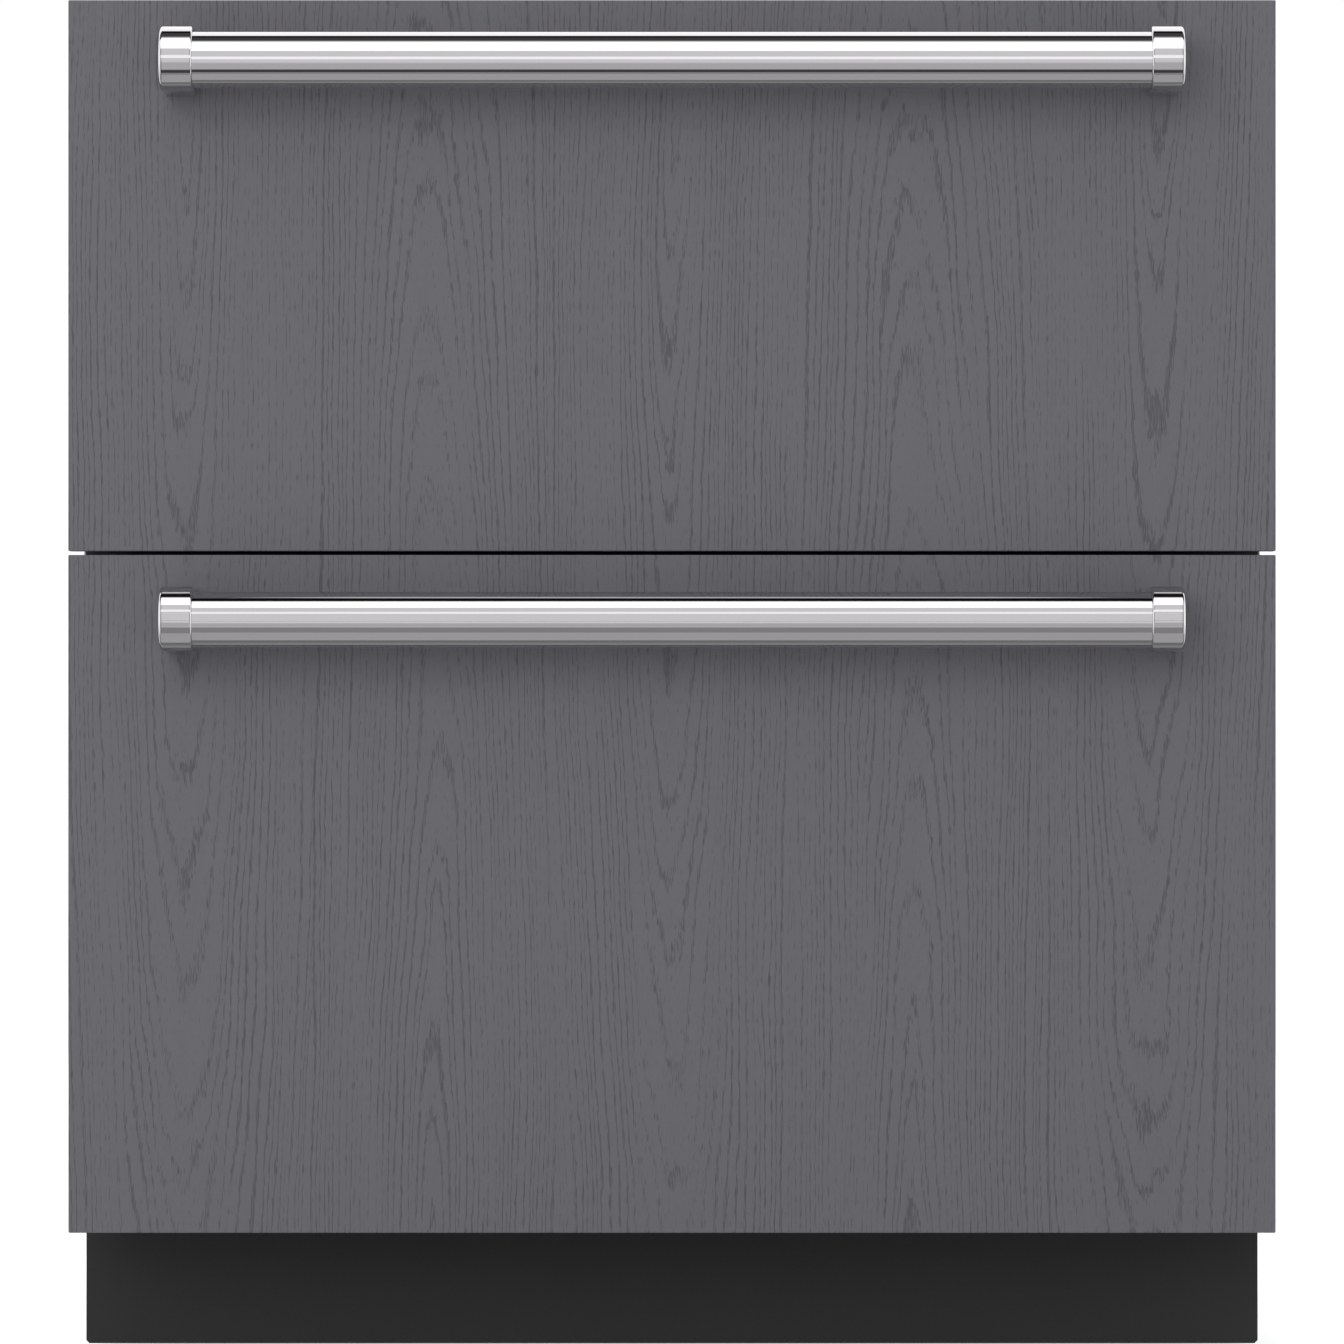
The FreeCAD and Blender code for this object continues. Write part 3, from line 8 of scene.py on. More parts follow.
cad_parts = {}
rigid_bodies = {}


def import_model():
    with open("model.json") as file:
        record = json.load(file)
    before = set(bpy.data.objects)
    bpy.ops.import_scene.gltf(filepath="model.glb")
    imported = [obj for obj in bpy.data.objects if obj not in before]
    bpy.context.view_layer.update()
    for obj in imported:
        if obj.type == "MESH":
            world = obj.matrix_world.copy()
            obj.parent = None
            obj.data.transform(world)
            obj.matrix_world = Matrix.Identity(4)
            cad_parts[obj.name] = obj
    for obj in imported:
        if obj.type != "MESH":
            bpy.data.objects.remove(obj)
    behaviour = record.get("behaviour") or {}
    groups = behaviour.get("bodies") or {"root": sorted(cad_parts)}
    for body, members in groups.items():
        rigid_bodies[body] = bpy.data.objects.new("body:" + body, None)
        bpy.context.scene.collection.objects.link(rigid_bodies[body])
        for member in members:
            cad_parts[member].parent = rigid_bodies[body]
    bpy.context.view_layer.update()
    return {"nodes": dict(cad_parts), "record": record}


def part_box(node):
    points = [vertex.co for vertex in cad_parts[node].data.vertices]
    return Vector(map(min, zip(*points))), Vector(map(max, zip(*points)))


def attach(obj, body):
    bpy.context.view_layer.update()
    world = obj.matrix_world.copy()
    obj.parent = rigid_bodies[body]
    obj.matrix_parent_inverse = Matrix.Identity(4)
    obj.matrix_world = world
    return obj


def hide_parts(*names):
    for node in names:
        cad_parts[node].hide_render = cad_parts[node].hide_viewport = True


for start_up_object in list(bpy.data.objects):
    bpy.data.objects.remove(start_up_object)
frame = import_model()
nodes = frame["nodes"]
scene = bpy.context.scene
scene.view_settings.view_transform = "Standard"

MM = 0.001
# Points nearer than this lie at the same place.
TOUCHING = 1e-6
PANEL_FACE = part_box("upper_panel")[0].y


# Shader trees: a socket takes a value or the output of another node.
def feed(tree, socket, value):
    if isinstance(value, bpy.types.NodeSocket):
        tree.links.new(value, socket)
    else:
        socket.default_value = value


def add(tree, kind, inputs=None, **settings):
    """A new node with its settings and what its inputs take."""
    node = tree.nodes.new(kind)
    for key, setting in settings.items():
        setattr(node, key, setting)
    for key, value in (inputs or {}).items():
        feed(tree, node.inputs[key], value)
    return node


def calc(tree, operation, *values, clamp=False):
    inputs = dict(enumerate(values))
    return add(tree, "ShaderNodeMath", inputs, operation=operation, use_clamp=clamp).outputs[0]


def ramp_between(tree, value, low, high, to_low=0.0, to_high=1.0):
    """Value eased from one range into another."""
    inputs = {"Value": value, "From Min": low, "From Max": high, "To Min": to_low, "To Max": to_high}
    return add(tree, "ShaderNodeMapRange", inputs, interpolation_type="SMOOTHSTEP").outputs["Result"]


def centred(tree, value):
    """A value that lies about one half, moved to lie about zero."""
    return calc(tree, "SUBTRACT", value, 0.5)


def blend_colours(tree, share, first, second):
    node = add(tree, "ShaderNodeMix", data_type="RGBA")
    sockets = {socket.identifier: socket for socket in node.inputs}
    feed(tree, sockets["Factor_Float"], share)
    feed(tree, sockets["A_Color"], first)
    feed(tree, sockets["B_Color"], second)
    return next(s for s in node.outputs if s.identifier == "Result_Color")


def noise(tree, vector, scale, detail=2.0, roughness=0.5, distortion=0.0):
    inputs = {"Vector": vector, "Scale": scale, "Detail": detail, "Roughness": roughness,
              "Distortion": distortion}
    return add(tree, "ShaderNodeTexNoise", inputs).outputs["Fac"]


def stretched(tree, vector, scale, shift=(0.0, 0.0, 0.0)):
    inputs = {"Vector": vector, "Scale": scale, "Location": shift}
    return add(tree, "ShaderNodeMapping", inputs).outputs["Vector"]


def colour(red, green, blue):
    """Linear colour from the eight bit numbers that a screen shows."""
    def linear(level):
        share = level / 255
        return share / 12.92 if share <= 0.04045 else ((share + 0.055) / 1.055) ** 2.4
    return (linear(red), linear(green), linear(blue), 1.0)


def new_group(name, sockets_in, sockets_out):
    """A node group with its named sockets, and the nodes that stand for its inputs and outputs."""
    group = bpy.data.node_groups.new(name, "ShaderNodeTree")
    for socket, kind in sockets_in:
        group.interface.new_socket(socket, in_out="INPUT", socket_type="NodeSocket" + kind)
    for socket, kind in sockets_out:
        group.interface.new_socket(socket, in_out="OUTPUT", socket_type="NodeSocket" + kind)
    return group, group.nodes.new("NodeGroupInput").outputs, group.nodes.new("NodeGroupOutput")


def use(tree, group, inputs):
    return add(tree, "ShaderNodeGroup", inputs, node_tree=group).outputs


# Flat sawn timber: leaves of veneer side by side, each with its arches, and the pores along the rings.
def oak_group():
    group, given, result = new_group(
        "oak_figure",
        [("Vector", "Vector"), ("Leaf Width", "Float"), ("Ring Spacing", "Float"), ("Shift", "Float")],
        [("Pores", "Float"), ("Tone", "Float")],
    )
    # How far a leaf sways, and how far its rings wander in long and in short waves.
    sway_reach, wobble_reach, jag_reach = 30 * MM, 18 * MM, 3.4 * MM
    # The rings stand closer across the leaf than along it, so that the arches are narrow.
    crowding = 1.9
    # A leaf is turned about this height, and its heart is set off from there by a chance amount.
    turn_height, least_offset, offset_spread = 0.45, 0.22, 0.35
    # The heart runs out of the face at a slant.
    slant, heart_depth = 0.100, 0.010
    # Waves of lean and fat years in a metre of wood, and how many rings they shift.
    year_scale, year_shift = 48.0, 2.6
    # Noise level above which a stroke shows in plain wood, and how that changes in early wood and at a tip.
    fine_level, fine_early, fine_tip = 0.70, -0.36, -0.04
    long_level, long_early = 0.745, -0.30
    # How fast a stroke darkens from its edge, how dark a fine one is, and how long ones fade at a tip.
    fine_edge, long_edge, fine_weight, long_tip = 5.5, 5.0, 0.8, -0.85

    def figure(scale_across, scale_up, shift_across, shift_up, detail, roughness=0.5):
        """Noise drawn out along the grain."""
        scale = (scale_across, 0.0, scale_up)
        shift = (shift_across, 0.0, shift_up)
        return noise(group, stretched(group, given["Vector"], scale, shift), 1.0, detail, roughness)

    place = add(group, "ShaderNodeSeparateXYZ", {"Vector": given["Vector"]}).outputs
    sway = centred(group, figure(6.0, 1.6, 0.0, 0.0, 1.0))
    swayed = calc(group, "MULTIPLY_ADD", sway, sway_reach, place["X"])
    leaf = calc(group, "ADD", calc(group, "DIVIDE", swayed, given["Leaf Width"]), given["Shift"])
    number = calc(group, "FLOOR", leaf)
    chance = add(group, "ShaderNodeTexWhiteNoise", {"W": number}, noise_dimensions="1D").outputs["Color"]
    chances = add(group, "ShaderNodeSeparateColor", {"Color": chance}).outputs
    in_leaf = centred(group, calc(group, "FRACT", leaf))
    off_heart = calc(group, "MULTIPLY", in_leaf, calc(group, "MULTIPLY", given["Leaf Width"], crowding))
    # Every other leaf is turned end for end.
    turn = calc(group, "SUBTRACT", calc(group, "MULTIPLY", calc(group, "PINGPONG", number, 1.0), 2.0), 1.0)
    offset = calc(group, "MULTIPLY_ADD", chances["Green"], offset_spread, least_offset)
    rise = calc(group, "MULTIPLY_ADD", calc(group, "SUBTRACT", place["Z"], turn_height), turn, offset)
    depth = calc(group, "MULTIPLY_ADD", rise, slant, heart_depth)
    squares = calc(group, "ADD", calc(group, "POWER", off_heart, 2.0), calc(group, "POWER", depth, 2.0))
    rings = calc(group, "SQRT", squares)
    wobble = centred(group, figure(34.0, 6.0, 4.0, 2.0, 2.0))
    rings = calc(group, "MULTIPLY_ADD", wobble, wobble_reach, rings)
    jag = centred(group, figure(520.0, 90.0, 3.0, 2.0, 1.0))
    rings = calc(group, "MULTIPLY_ADD", jag, jag_reach, rings)
    # Lean and fat years: the spacing of the rings is uneven.
    years = add(group, "ShaderNodeTexNoise", {"W": rings, "Scale": year_scale, "Detail": 1.0},
                noise_dimensions="1D").outputs[0]
    count = calc(group, "DIVIDE", rings, given["Ring Spacing"])
    phase = calc(group, "FRACT", calc(group, "MULTIPLY_ADD", years, year_shift, count))
    early = ramp_between(group, calc(group, "ABSOLUTE", centred(group, phase)), 0.22, 0.05)
    density = ramp_between(group, figure(44.0, 2.6, 1.0, 7.0, 2.0), 0.36, 0.60)
    early = calc(group, "MULTIPLY", early, calc(group, "MULTIPLY_ADD", density, 0.52, 0.48))
    # Pores are short dark strokes, dense in the early wood of a ring and sparse between.
    fine = figure(1850.0, 150.0, 0.0, 0.0, 0.0)
    long = figure(1700.0, 52.0, 9.0, 3.0, 0.0)
    # At the tip of an arch the rings open out and only short strokes are left.
    tip = calc(group, "POWER", calc(group, "DIVIDE", calc(group, "ABSOLUTE", depth), rings), 3.0, clamp=True)
    fine_limit = calc(group, "MULTIPLY_ADD", tip, fine_tip, fine_level)
    fine_limit = calc(group, "MULTIPLY_ADD", early, fine_early, fine_limit)
    fine_pores = calc(group, "MULTIPLY", calc(group, "SUBTRACT", fine, fine_limit), fine_edge, clamp=True)
    long_limit = calc(group, "MULTIPLY_ADD", early, long_early, long_level)
    long_pores = calc(group, "MULTIPLY", calc(group, "SUBTRACT", long, long_limit), long_edge, clamp=True)
    long_pores = calc(group, "MULTIPLY", long_pores, calc(group, "MULTIPLY_ADD", tip, long_tip, 1.0))
    pores = calc(group, "MAXIMUM", calc(group, "MULTIPLY", fine_pores, fine_weight), long_pores)
    # No two pores are equally deep.
    filled = ramp_between(group, figure(520.0, 60.0, 5.0, 8.0, 1.0), 0.30, 0.70, 0.75, 1.15)
    group.links.new(calc(group, "MULTIPLY", pores, filled), result.inputs["Pores"])
    group.links.new(figure(60.0, 5.0, 2.0, 5.0, 3.0, 0.65), result.inputs["Tone"])
    return group


# Small unevenness that most finishes share: a slow drift of tone and a fine grit.
def unevenness_group():
    group, given, result = new_group(
        "unevenness",
        [("Vector", "Vector"), ("Drift Scale", "Float"), ("Grit Scale", "Float")],
        [("Drift", "Float"), ("Grit", "Float"), ("Smudge", "Float")],
    )
    drift = noise(group, given["Vector"], given["Drift Scale"], 3.0, 0.55)
    grit = noise(group, given["Vector"], given["Grit Scale"], 2.0, 0.6)
    smudge = noise(group, given["Vector"], 11.0, 5.0, 0.62, 0.6)
    group.links.new(drift, result.inputs["Drift"])
    group.links.new(grit, result.inputs["Grit"])
    group.links.new(ramp_between(group, smudge, 0.45, 0.75), result.inputs["Smudge"])
    return group


OAK = oak_group()
UNEVENNESS = unevenness_group()


def new_material(name):
    material = bpy.data.materials.new(name)
    material.use_nodes = True
    tree = material.node_tree
    tree.nodes.clear()
    shader = tree.nodes.new("ShaderNodeBsdfPrincipled")
    out = tree.nodes.new("ShaderNodeOutputMaterial")
    tree.links.new(shader.outputs["BSDF"], out.inputs["Surface"])
    place = tree.nodes.new("ShaderNodeTexCoord").outputs["Object"]
    return material, tree, shader, place


def bump(tree, shader, height, strength, distance):
    node = add(tree, "ShaderNodeBump", {"Height": height, "Strength": strength, "Distance": distance})
    tree.links.new(node.outputs["Normal"], shader.inputs["Normal"])


def grey_oak():
    material, tree, shader, place = new_material("grey_oak")
    # Depth is added to width, so that the figure runs on round the side edges of a panel.
    axes = add(tree, "ShaderNodeSeparateXYZ", {"Vector": place}).outputs
    wrapped = calc(tree, "ADD", axes["X"], calc(tree, "SUBTRACT", axes["Y"], PANEL_FACE))
    place = add(tree, "ShaderNodeCombineXYZ", {"X": wrapped, "Z": axes["Z"]}).outputs["Vector"]
    grain = use(tree, OAK, {"Vector": place, "Leaf Width": 152 * MM, "Ring Spacing": 6.2 * MM, "Shift": 0.5})
    ground = blend_colours(tree, grain["Tone"], colour(107, 106, 111), colour(111, 110, 115))
    tint = blend_colours(tree, grain["Pores"], ground, colour(87, 86, 91))
    tree.links.new(tint, shader.inputs["Base Color"])
    rough = calc(tree, "MULTIPLY_ADD", grain["Pores"], 0.14, 0.60)
    tree.links.new(rough, shader.inputs["Roughness"])
    shader.inputs["Specular IOR Level"].default_value = 0.11
    sunk = calc(tree, "SUBTRACT", calc(tree, "MULTIPLY", grain["Tone"], 0.12), grain["Pores"])
    bump(tree, shader, sunk, 0.35, 0.3 * MM)
    return material


def shaded(base, share):
    """A colour made darker or lighter by a share, no lighter than white."""
    return tuple(min(1.0, level * share) for level in base[:3]) + (1.0,)


def plain_finish(name, base, rough, drift=0.05, metal=0.0, grit=900.0, grit_height=0.02 * MM, coat=0.0,
                 specular=0.35):
    """A painted, plated or moulded surface: its colour drifts a little and its skin has a fine grit."""
    material, tree, shader, place = new_material(name)
    uneven = use(tree, UNEVENNESS, {"Vector": place, "Drift Scale": 5.0, "Grit Scale": grit})
    tint = blend_colours(tree, uneven["Drift"], shaded(base, 1 - drift), shaded(base, 1 + drift))
    tree.links.new(tint, shader.inputs["Base Color"])
    worn = calc(tree, "MULTIPLY_ADD", uneven["Smudge"], 0.08, rough)
    tree.links.new(worn, shader.inputs["Roughness"])
    shader.inputs["Metallic"].default_value = metal
    shader.inputs["Specular IOR Level"].default_value = specular
    shader.inputs["Coat Weight"].default_value = coat
    if grit_height:
        bump(tree, shader, uneven["Grit"], 0.5, grit_height)
    return material


def polished_chrome():
    material, tree, shader, place = new_material("polished_chrome")
    uneven = use(tree, UNEVENNESS, {"Vector": place, "Drift Scale": 6.0, "Grit Scale": 700.0})
    tree.links.new(blend_colours(tree, uneven["Drift"], (0.610, 0.604, 0.611, 1), (0.638, 0.631, 0.639, 1)),
                   shader.inputs["Base Color"])
    tree.links.new(calc(tree, "MULTIPLY_ADD", uneven["Smudge"], 0.02, 0.035), shader.inputs["Roughness"])
    shader.inputs["Metallic"].default_value = 1.0
    return material


def drawn_metal(name, base, rough, along):
    """Rolled or drawn metal with fine streaks along one axis."""
    material, tree, shader, place = new_material(name)
    across_scale, along_scale = 420.0, 6.0
    scale = [along_scale if axis == along else across_scale for axis in "XYZ"]
    streaks = noise(tree, stretched(tree, place, scale), 1.0, 3.0, 0.6)
    uneven = use(tree, UNEVENNESS, {"Vector": place, "Drift Scale": 7.0, "Grit Scale": 600.0})
    tree.links.new(blend_colours(tree, streaks, shaded(base, 0.86), base), shader.inputs["Base Color"])
    spread = calc(tree, "MULTIPLY_ADD", streaks, 0.16, rough)
    tree.links.new(calc(tree, "MULTIPLY_ADD", uneven["Smudge"], 0.08, spread), shader.inputs["Roughness"])
    shader.inputs["Metallic"].default_value = 1.0
    bump(tree, shader, streaks, 0.25, 0.03 * MM)
    return material


def zinc_sheet():
    """Hot dipped sheet with its flat crystals, each a little lighter or darker."""
    material, tree, shader, place = new_material("zinc_sheet")
    cloud = noise(tree, place, 90.0, 3.0)
    crystals = add(tree, "ShaderNodeTexVoronoi", {"Vector": place, "Scale": 150.0, "Randomness": 1.0})
    level = add(tree, "ShaderNodeSeparateColor", {"Color": crystals.outputs["Color"]}).outputs["Red"]
    mixed = calc(tree, "MULTIPLY_ADD", cloud, 0.5, calc(tree, "MULTIPLY", level, 0.5))
    tree.links.new(blend_colours(tree, mixed, (0.37, 0.377, 0.385, 1), (0.475, 0.483, 0.494, 1)),
                   shader.inputs["Base Color"])
    tree.links.new(calc(tree, "MULTIPLY_ADD", level, 0.14, 0.36), shader.inputs["Roughness"])
    shader.inputs["Metallic"].default_value = 0.85
    return material


def cut_foam():
    material, tree, shader, place = new_material("cut_foam")
    cells = add(tree, "ShaderNodeTexVoronoi", {"Vector": place, "Scale": 700.0}).outputs["Distance"]
    drift = noise(tree, place, 25.0, 4.0)
    tree.links.new(blend_colours(tree, drift, (0.66, 0.53, 0.28, 1), (0.78, 0.68, 0.44, 1)),
                   shader.inputs["Base Color"])
    shader.inputs["Roughness"].default_value = 0.95
    bump(tree, shader, cells, 0.6, 0.6 * MM)
    return material


def frosted_lens():
    material, tree, shader, place = new_material("frosted_lens")
    wave = add(tree, "ShaderNodeTexWave", {"Vector": place, "Scale": 90.0}, bands_direction="X")
    ribs = wave.outputs["Fac"]
    tree.links.new(blend_colours(tree, ribs, (0.80, 0.83, 0.86, 1), (0.92, 0.94, 0.96, 1)),
                   shader.inputs["Base Color"])
    shader.inputs["Roughness"].default_value = 0.38
    shader.inputs["Emission Color"].default_value = (0.9, 0.95, 1.0, 1)
    shader.inputs["Emission Strength"].default_value = 0.35
    bump(tree, shader, ribs, 0.4, 0.3 * MM)
    return material


FINISHES = {
    "panel_wood": grey_oak(),
    "handle_chrome": polished_chrome(),
    "kick_black": plain_finish("kick_powder_coat", colour(53, 53, 53), rough=0.55, grit=1400.0,
                               grit_height=0.05 * MM, specular=0.17),
    "cabinet_steel": plain_finish("cabinet_enamel", colour(150, 152, 155), rough=0.38, drift=0.03, grit=500.0,
                                  grit_height=0.04 * MM),
    "galvanised_steel": zinc_sheet(),
    "foam": cut_foam(),
    "liner_white": plain_finish("liner_plastic", colour(228, 230, 232), rough=0.34, drift=0.02, grit=700.0),
    "bin_white": plain_finish("bin_plastic", colour(220, 224, 228), rough=0.28, drift=0.02, grit=300.0),
    "gasket_grey": plain_finish("gasket_rubber", colour(118, 119, 122), rough=0.62, drift=0.06, grit=1200.0,
                                grit_height=0.04 * MM, specular=0.2),
    "slide_steel": drawn_metal("slide_zinc", (0.52, 0.53, 0.545, 1), rough=0.26, along="Y"),
    "black_plastic": plain_finish("black_plastic", colour(32, 32, 33), rough=0.5, drift=0.08, grit=1000.0,
                                  grit_height=0.05 * MM, specular=0.28),
    "grey_plastic": plain_finish("grey_plastic", colour(140, 143, 146), rough=0.5, drift=0.04, grit=1000.0,
                                 grit_height=0.05 * MM),
    "control_black": plain_finish("control_gloss", colour(20, 20, 22), rough=0.12, grit=300.0,
                                  grit_height=0.0, coat=0.4),
    "button_silver": plain_finish("button_satin", colour(190, 192, 196), rough=0.3, drift=0.03, metal=0.6,
                                  grit=1500.0),
    "light_lens": frosted_lens(),
    "compressor_black": plain_finish("compressor_enamel", colour(24, 24, 25), rough=0.24, drift=0.1,
                                     grit=350.0, grit_height=0.08 * MM, coat=0.3),
    "black_rubber": plain_finish("black_rubber", colour(28, 28, 28), rough=0.75, drift=0.1, grit=1100.0,
                                 grit_height=0.05 * MM, specular=0.17),
    "fin_aluminium": drawn_metal("fin_aluminium", (0.64, 0.648, 0.656, 1), rough=0.3, along="Z"),
    "copper_line": drawn_metal("drawn_copper", (0.78, 0.42, 0.27, 1), rough=0.24, along="X"),
    "foot_plastic": plain_finish("foot_plastic", colour(40, 40, 41), rough=0.55, drift=0.08,
                                 grit_height=0.06 * MM, specular=0.25),
}
for subpart in frame["record"]["subparts"]:
    mesh = nodes[subpart["node"]].data
    mesh.materials.clear()
    mesh.materials.append(FINISHES[subpart["material_slot"]])
# The face frame is given a near-black enamel all over. This is painted shade: the gap between the panels
# reads black where it lets the frame show.
frame_gap_shade_enamel = plain_finish("frame_gap_shade_enamel", colour(42, 42, 44), rough=0.5, grit=500.0, grit_height=0.04 * MM,
                            specular=0.2)
nodes["face_frame"].data.materials[0] = frame_gap_shade_enamel


# Pieces: a bmesh becomes an object at the origin that rides on a body and takes a finish.
def piece(name, shape, body, slot, replaced=(), smooth=35.0):
    bmesh.ops.remove_doubles(shape, verts=shape.verts, dist=TOUCHING)
    bmesh.ops.recalc_face_normals(shape, faces=shape.faces)
    mesh = bpy.data.meshes.new(name)
    for face in shape.faces:
        face.smooth = True
    shape.to_mesh(mesh)
    shape.free()
    mesh.materials.append(FINISHES[slot])
    item = bpy.data.objects.new(name, mesh)
    scene.collection.objects.link(item)
    mesh.set_sharp_from_angle(angle=math.radians(smooth))
    # Large faces keep their own direction, so that bevels beside them stay crisp.
    weighted = item.modifiers.new("crisp", "WEIGHTED_NORMAL")
    weighted.keep_sharp = True
    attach(item, body)
    if replaced:
        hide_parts(*replaced)
    return item


def make_handle(drawer):
    """A tube between two end posts, each a round front on a block that reaches back to the panel."""
    low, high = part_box(drawer + "_handle_bar")
    middle = Vector((0.0, (low.y + high.y) / 2, (low.z + high.z) / 2))
    tube = bmesh.new()
    radius = (high.z - low.z) / 2
    bmesh.ops.create_cone(tube, cap_ends=True, segments=160, radius1=radius, radius2=radius,
                          depth=high.x - low.x)
    bmesh.ops.rotate(tube, verts=tube.verts, matrix=Matrix.Rotation(math.radians(90), 3, "Y"))
    bmesh.ops.translate(tube, verts=tube.verts, vec=middle)
    piece(drawer + "_pull_tube", tube, drawer + "_drawer", "handle_chrome", [drawer + "_handle_bar"])

    low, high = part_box(drawer + "_handle_posts")
    # The round front of a post stands a little higher than the tube, and its top is where the solid's is.
    lift = 0.7 * MM
    centre = middle + Vector((0.0, 0.0, lift))
    post_radius = (high.z - low.z) / 2 - lift
    post_width = 20.6 * MM
    steps = 72
    posts = bmesh.new()
    for side in (-1, 1):
        outer = high.x * side
        arc = []
        for step in range(steps + 1):
            angle = math.pi * step / steps
            forward = post_radius * math.sin(angle)
            arc.append(posts.verts.new((outer, centre.y - forward, centre.z + post_radius * math.cos(angle))))
        back = [posts.verts.new((outer, PANEL_FACE, end.co.z)) for end in (arc[-1], arc[0])]
        face = posts.faces.new(arc + back)
        grown = bmesh.ops.extrude_face_region(posts, geom=[face])
        moved = [v for v in grown["geom"] if isinstance(v, bmesh.types.BMVert)]
        bmesh.ops.translate(posts, verts=moved, vec=(-side * post_width, 0, 0))
    bmesh.ops.recalc_face_normals(posts, faces=posts.faces)
    # The rim at the end of a pull is broken wider than the one beside the tube.
    for rim_x, width in ((high.x, 2.1 * MM), (high.x - post_width, 1.3 * MM)):
        rim = [e for e in posts.edges
               if all(abs(abs(v.co.x) - rim_x) < TOUCHING for v in e.verts)
               and any(abs(v.co.y - PANEL_FACE) > TOUCHING for v in e.verts)]
        bmesh.ops.bevel(posts, geom=rim, offset=width, offset_type="OFFSET", segments=6, profile=0.5,
                        affect="EDGES", material=-1)
    piece(drawer + "_pull_posts", posts, drawer + "_drawer", "handle_chrome", [drawer + "_handle_posts"],
          smooth=28.0)


def make_gasket(drawer):
    """A bellows seal: a rounded magnet strip held off its foot by two folds, mitred round the front."""
    low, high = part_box(drawer + "_gasket")
    width = 18 * MM
    deep = high.y - low.y
    # Section from the foot at the front to the strip at the back, as shares of the width and the depth.
    section = [(0.04, 0.0), (0.96, 0.0), (0.96, 0.14), (0.80, 0.26), (0.97, 0.40), (0.97, 0.52), (0.86, 0.58),
               (0.97, 0.66), (1.0, 0.80), (0.95, 0.95), (0.86, 1.0), (0.14, 1.0), (0.05, 0.95), (0.0, 0.80),
               (0.03, 0.66), (0.14, 0.58), (0.03, 0.52), (0.03, 0.40), (0.20, 0.26), (0.04, 0.14)]
    seal = bmesh.new()
    corner = 10 * MM
    steps = 8
    loops = []
    for side_x, side_z, start in ((1, 1, 0), (-1, 1, 90), (-1, -1, 180), (1, -1, 270)):
        centre_x = side_x * (high.x - corner)
        centre_z = (high.z - corner) if side_z > 0 else (low.z + corner)
        for step in range(steps + 1):
            angle = math.radians(start + 90 * step / steps)
            loop = []
            for share, back in section:
                inward = share * width
                reach = corner - inward
                if reach >= 0:
                    x = centre_x + reach * math.cos(angle)
                    z = centre_z + reach * math.sin(angle)
                else:
                    x = centre_x + reach * side_x
                    z = centre_z + reach * side_z
                loop.append(seal.verts.new((x, low.y + back * deep, z)))
            edges = [seal.edges.new((loop[i], loop[(i + 1) % len(loop)])) for i in range(len(loop))]
            loops.append(edges)
    for first, second in zip(loops, loops[1:] + loops[:1]):
        bmesh.ops.bridge_loops(seal, edges=first + second)
    piece(drawer + "_seal", seal, drawer + "_drawer", "gasket_grey", [drawer + "_gasket"], smooth=50.0)


for drawer in ("upper", "lower"):
    make_handle(drawer)
    make_gasket(drawer)


def turned_rings(shape, rings, place, facing, segments=24, closed=True):
    """Rings of a turned or starred profile, given as radii all round and a height, stood on a place."""
    stand = Vector((0, 0, 1)).rotation_difference(Vector(facing)).to_matrix()
    loops = []
    for radii, height in rings:
        loop = []
        for step in range(segments):
            angle = 2 * math.pi * step / segments
            radius = radii(angle) if callable(radii) else radii
            spot = Vector((radius * math.cos(angle), radius * math.sin(angle), height))
            loop.append(shape.verts.new(stand @ spot + Vector(place)))
        loops.append(loop)
    last = loops[:1] if closed else []
    for first, second in zip(loops, loops[1:] + last):
        for step in range(segments):
            following = (step + 1) % segments
            shape.faces.new((first[step], first[following], second[following], second[step]))
    return loops


def cross_recess(size):
    """Radius of a cross recess at an angle: four arms whose sides run back to the middle."""
    quarter = math.pi / 2
    half_arm = 0.24 * size

    def radius(angle):
        fold = angle % quarter
        fold = min(fold, quarter - fold)
        side = half_arm / max(math.sin(fold), 1e-6)
        return min(side, size / math.cos(fold))
    return radius


def screw_heads(name, body, slot, spots, facing, radius):
    """Pan heads with a cross recess, one at each spot."""
    heads = bmesh.new()
    height = radius * 0.62
    star = cross_recess(radius * 0.52)
    rings = [(radius * 0.96, -0.2 * MM), (radius, height * 0.35), (radius * 0.93, height * 0.66),
             (radius * 0.78, height * 0.88), (radius * 0.60, height), (star, height),
             (lambda angle: star(angle) * 0.8, height * 0.42)]
    for spot in spots:
        loops = turned_rings(heads, rings, [c * MM for c in spot], facing, closed=False)
        heads.faces.new(loops[-1])
        heads.faces.new(loops[0])
    piece(name, heads, body, slot, smooth=38.0)


def make_fasteners():
    """Screws of the sheet metal. The spots are in millimetres."""
    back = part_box("back_panel")[1].y / MM
    screw_heads("back_panel_screws", "cabinet", "galvanised_steel",
                [(x, back, z) for x in (-362, 362) for z in (300, 430, 560, 690, 820)]
                + [(x, back, 838) for x in (-180, 0, 180)], (0, 1, 0), 4.2 * MM)
    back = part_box("rear_cover")[1].y / MM
    screw_heads("rear_cover_screws", "cabinet", "galvanised_steel",
                [(x, back, z) for x in (-362, 0, 362) for z in (36, 258)], (0, 1, 0), 4.2 * MM)
    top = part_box("counter_brackets")[1].z / MM
    screw_heads("bracket_screws", "cabinet", "galvanised_steel",
                [(x * side, -160, top) for x in (222, 258) for side in (-1, 1)], (0, 0, 1), 3.2 * MM)
    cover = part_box("evaporator_cover")[0].y / MM
    screw_heads("cover_screws", "cabinet", "galvanised_steel",
                [(x, cover, z) for x in (-288, 288) for z in (328, 466)], (0, -1, 0), 3.6 * MM)


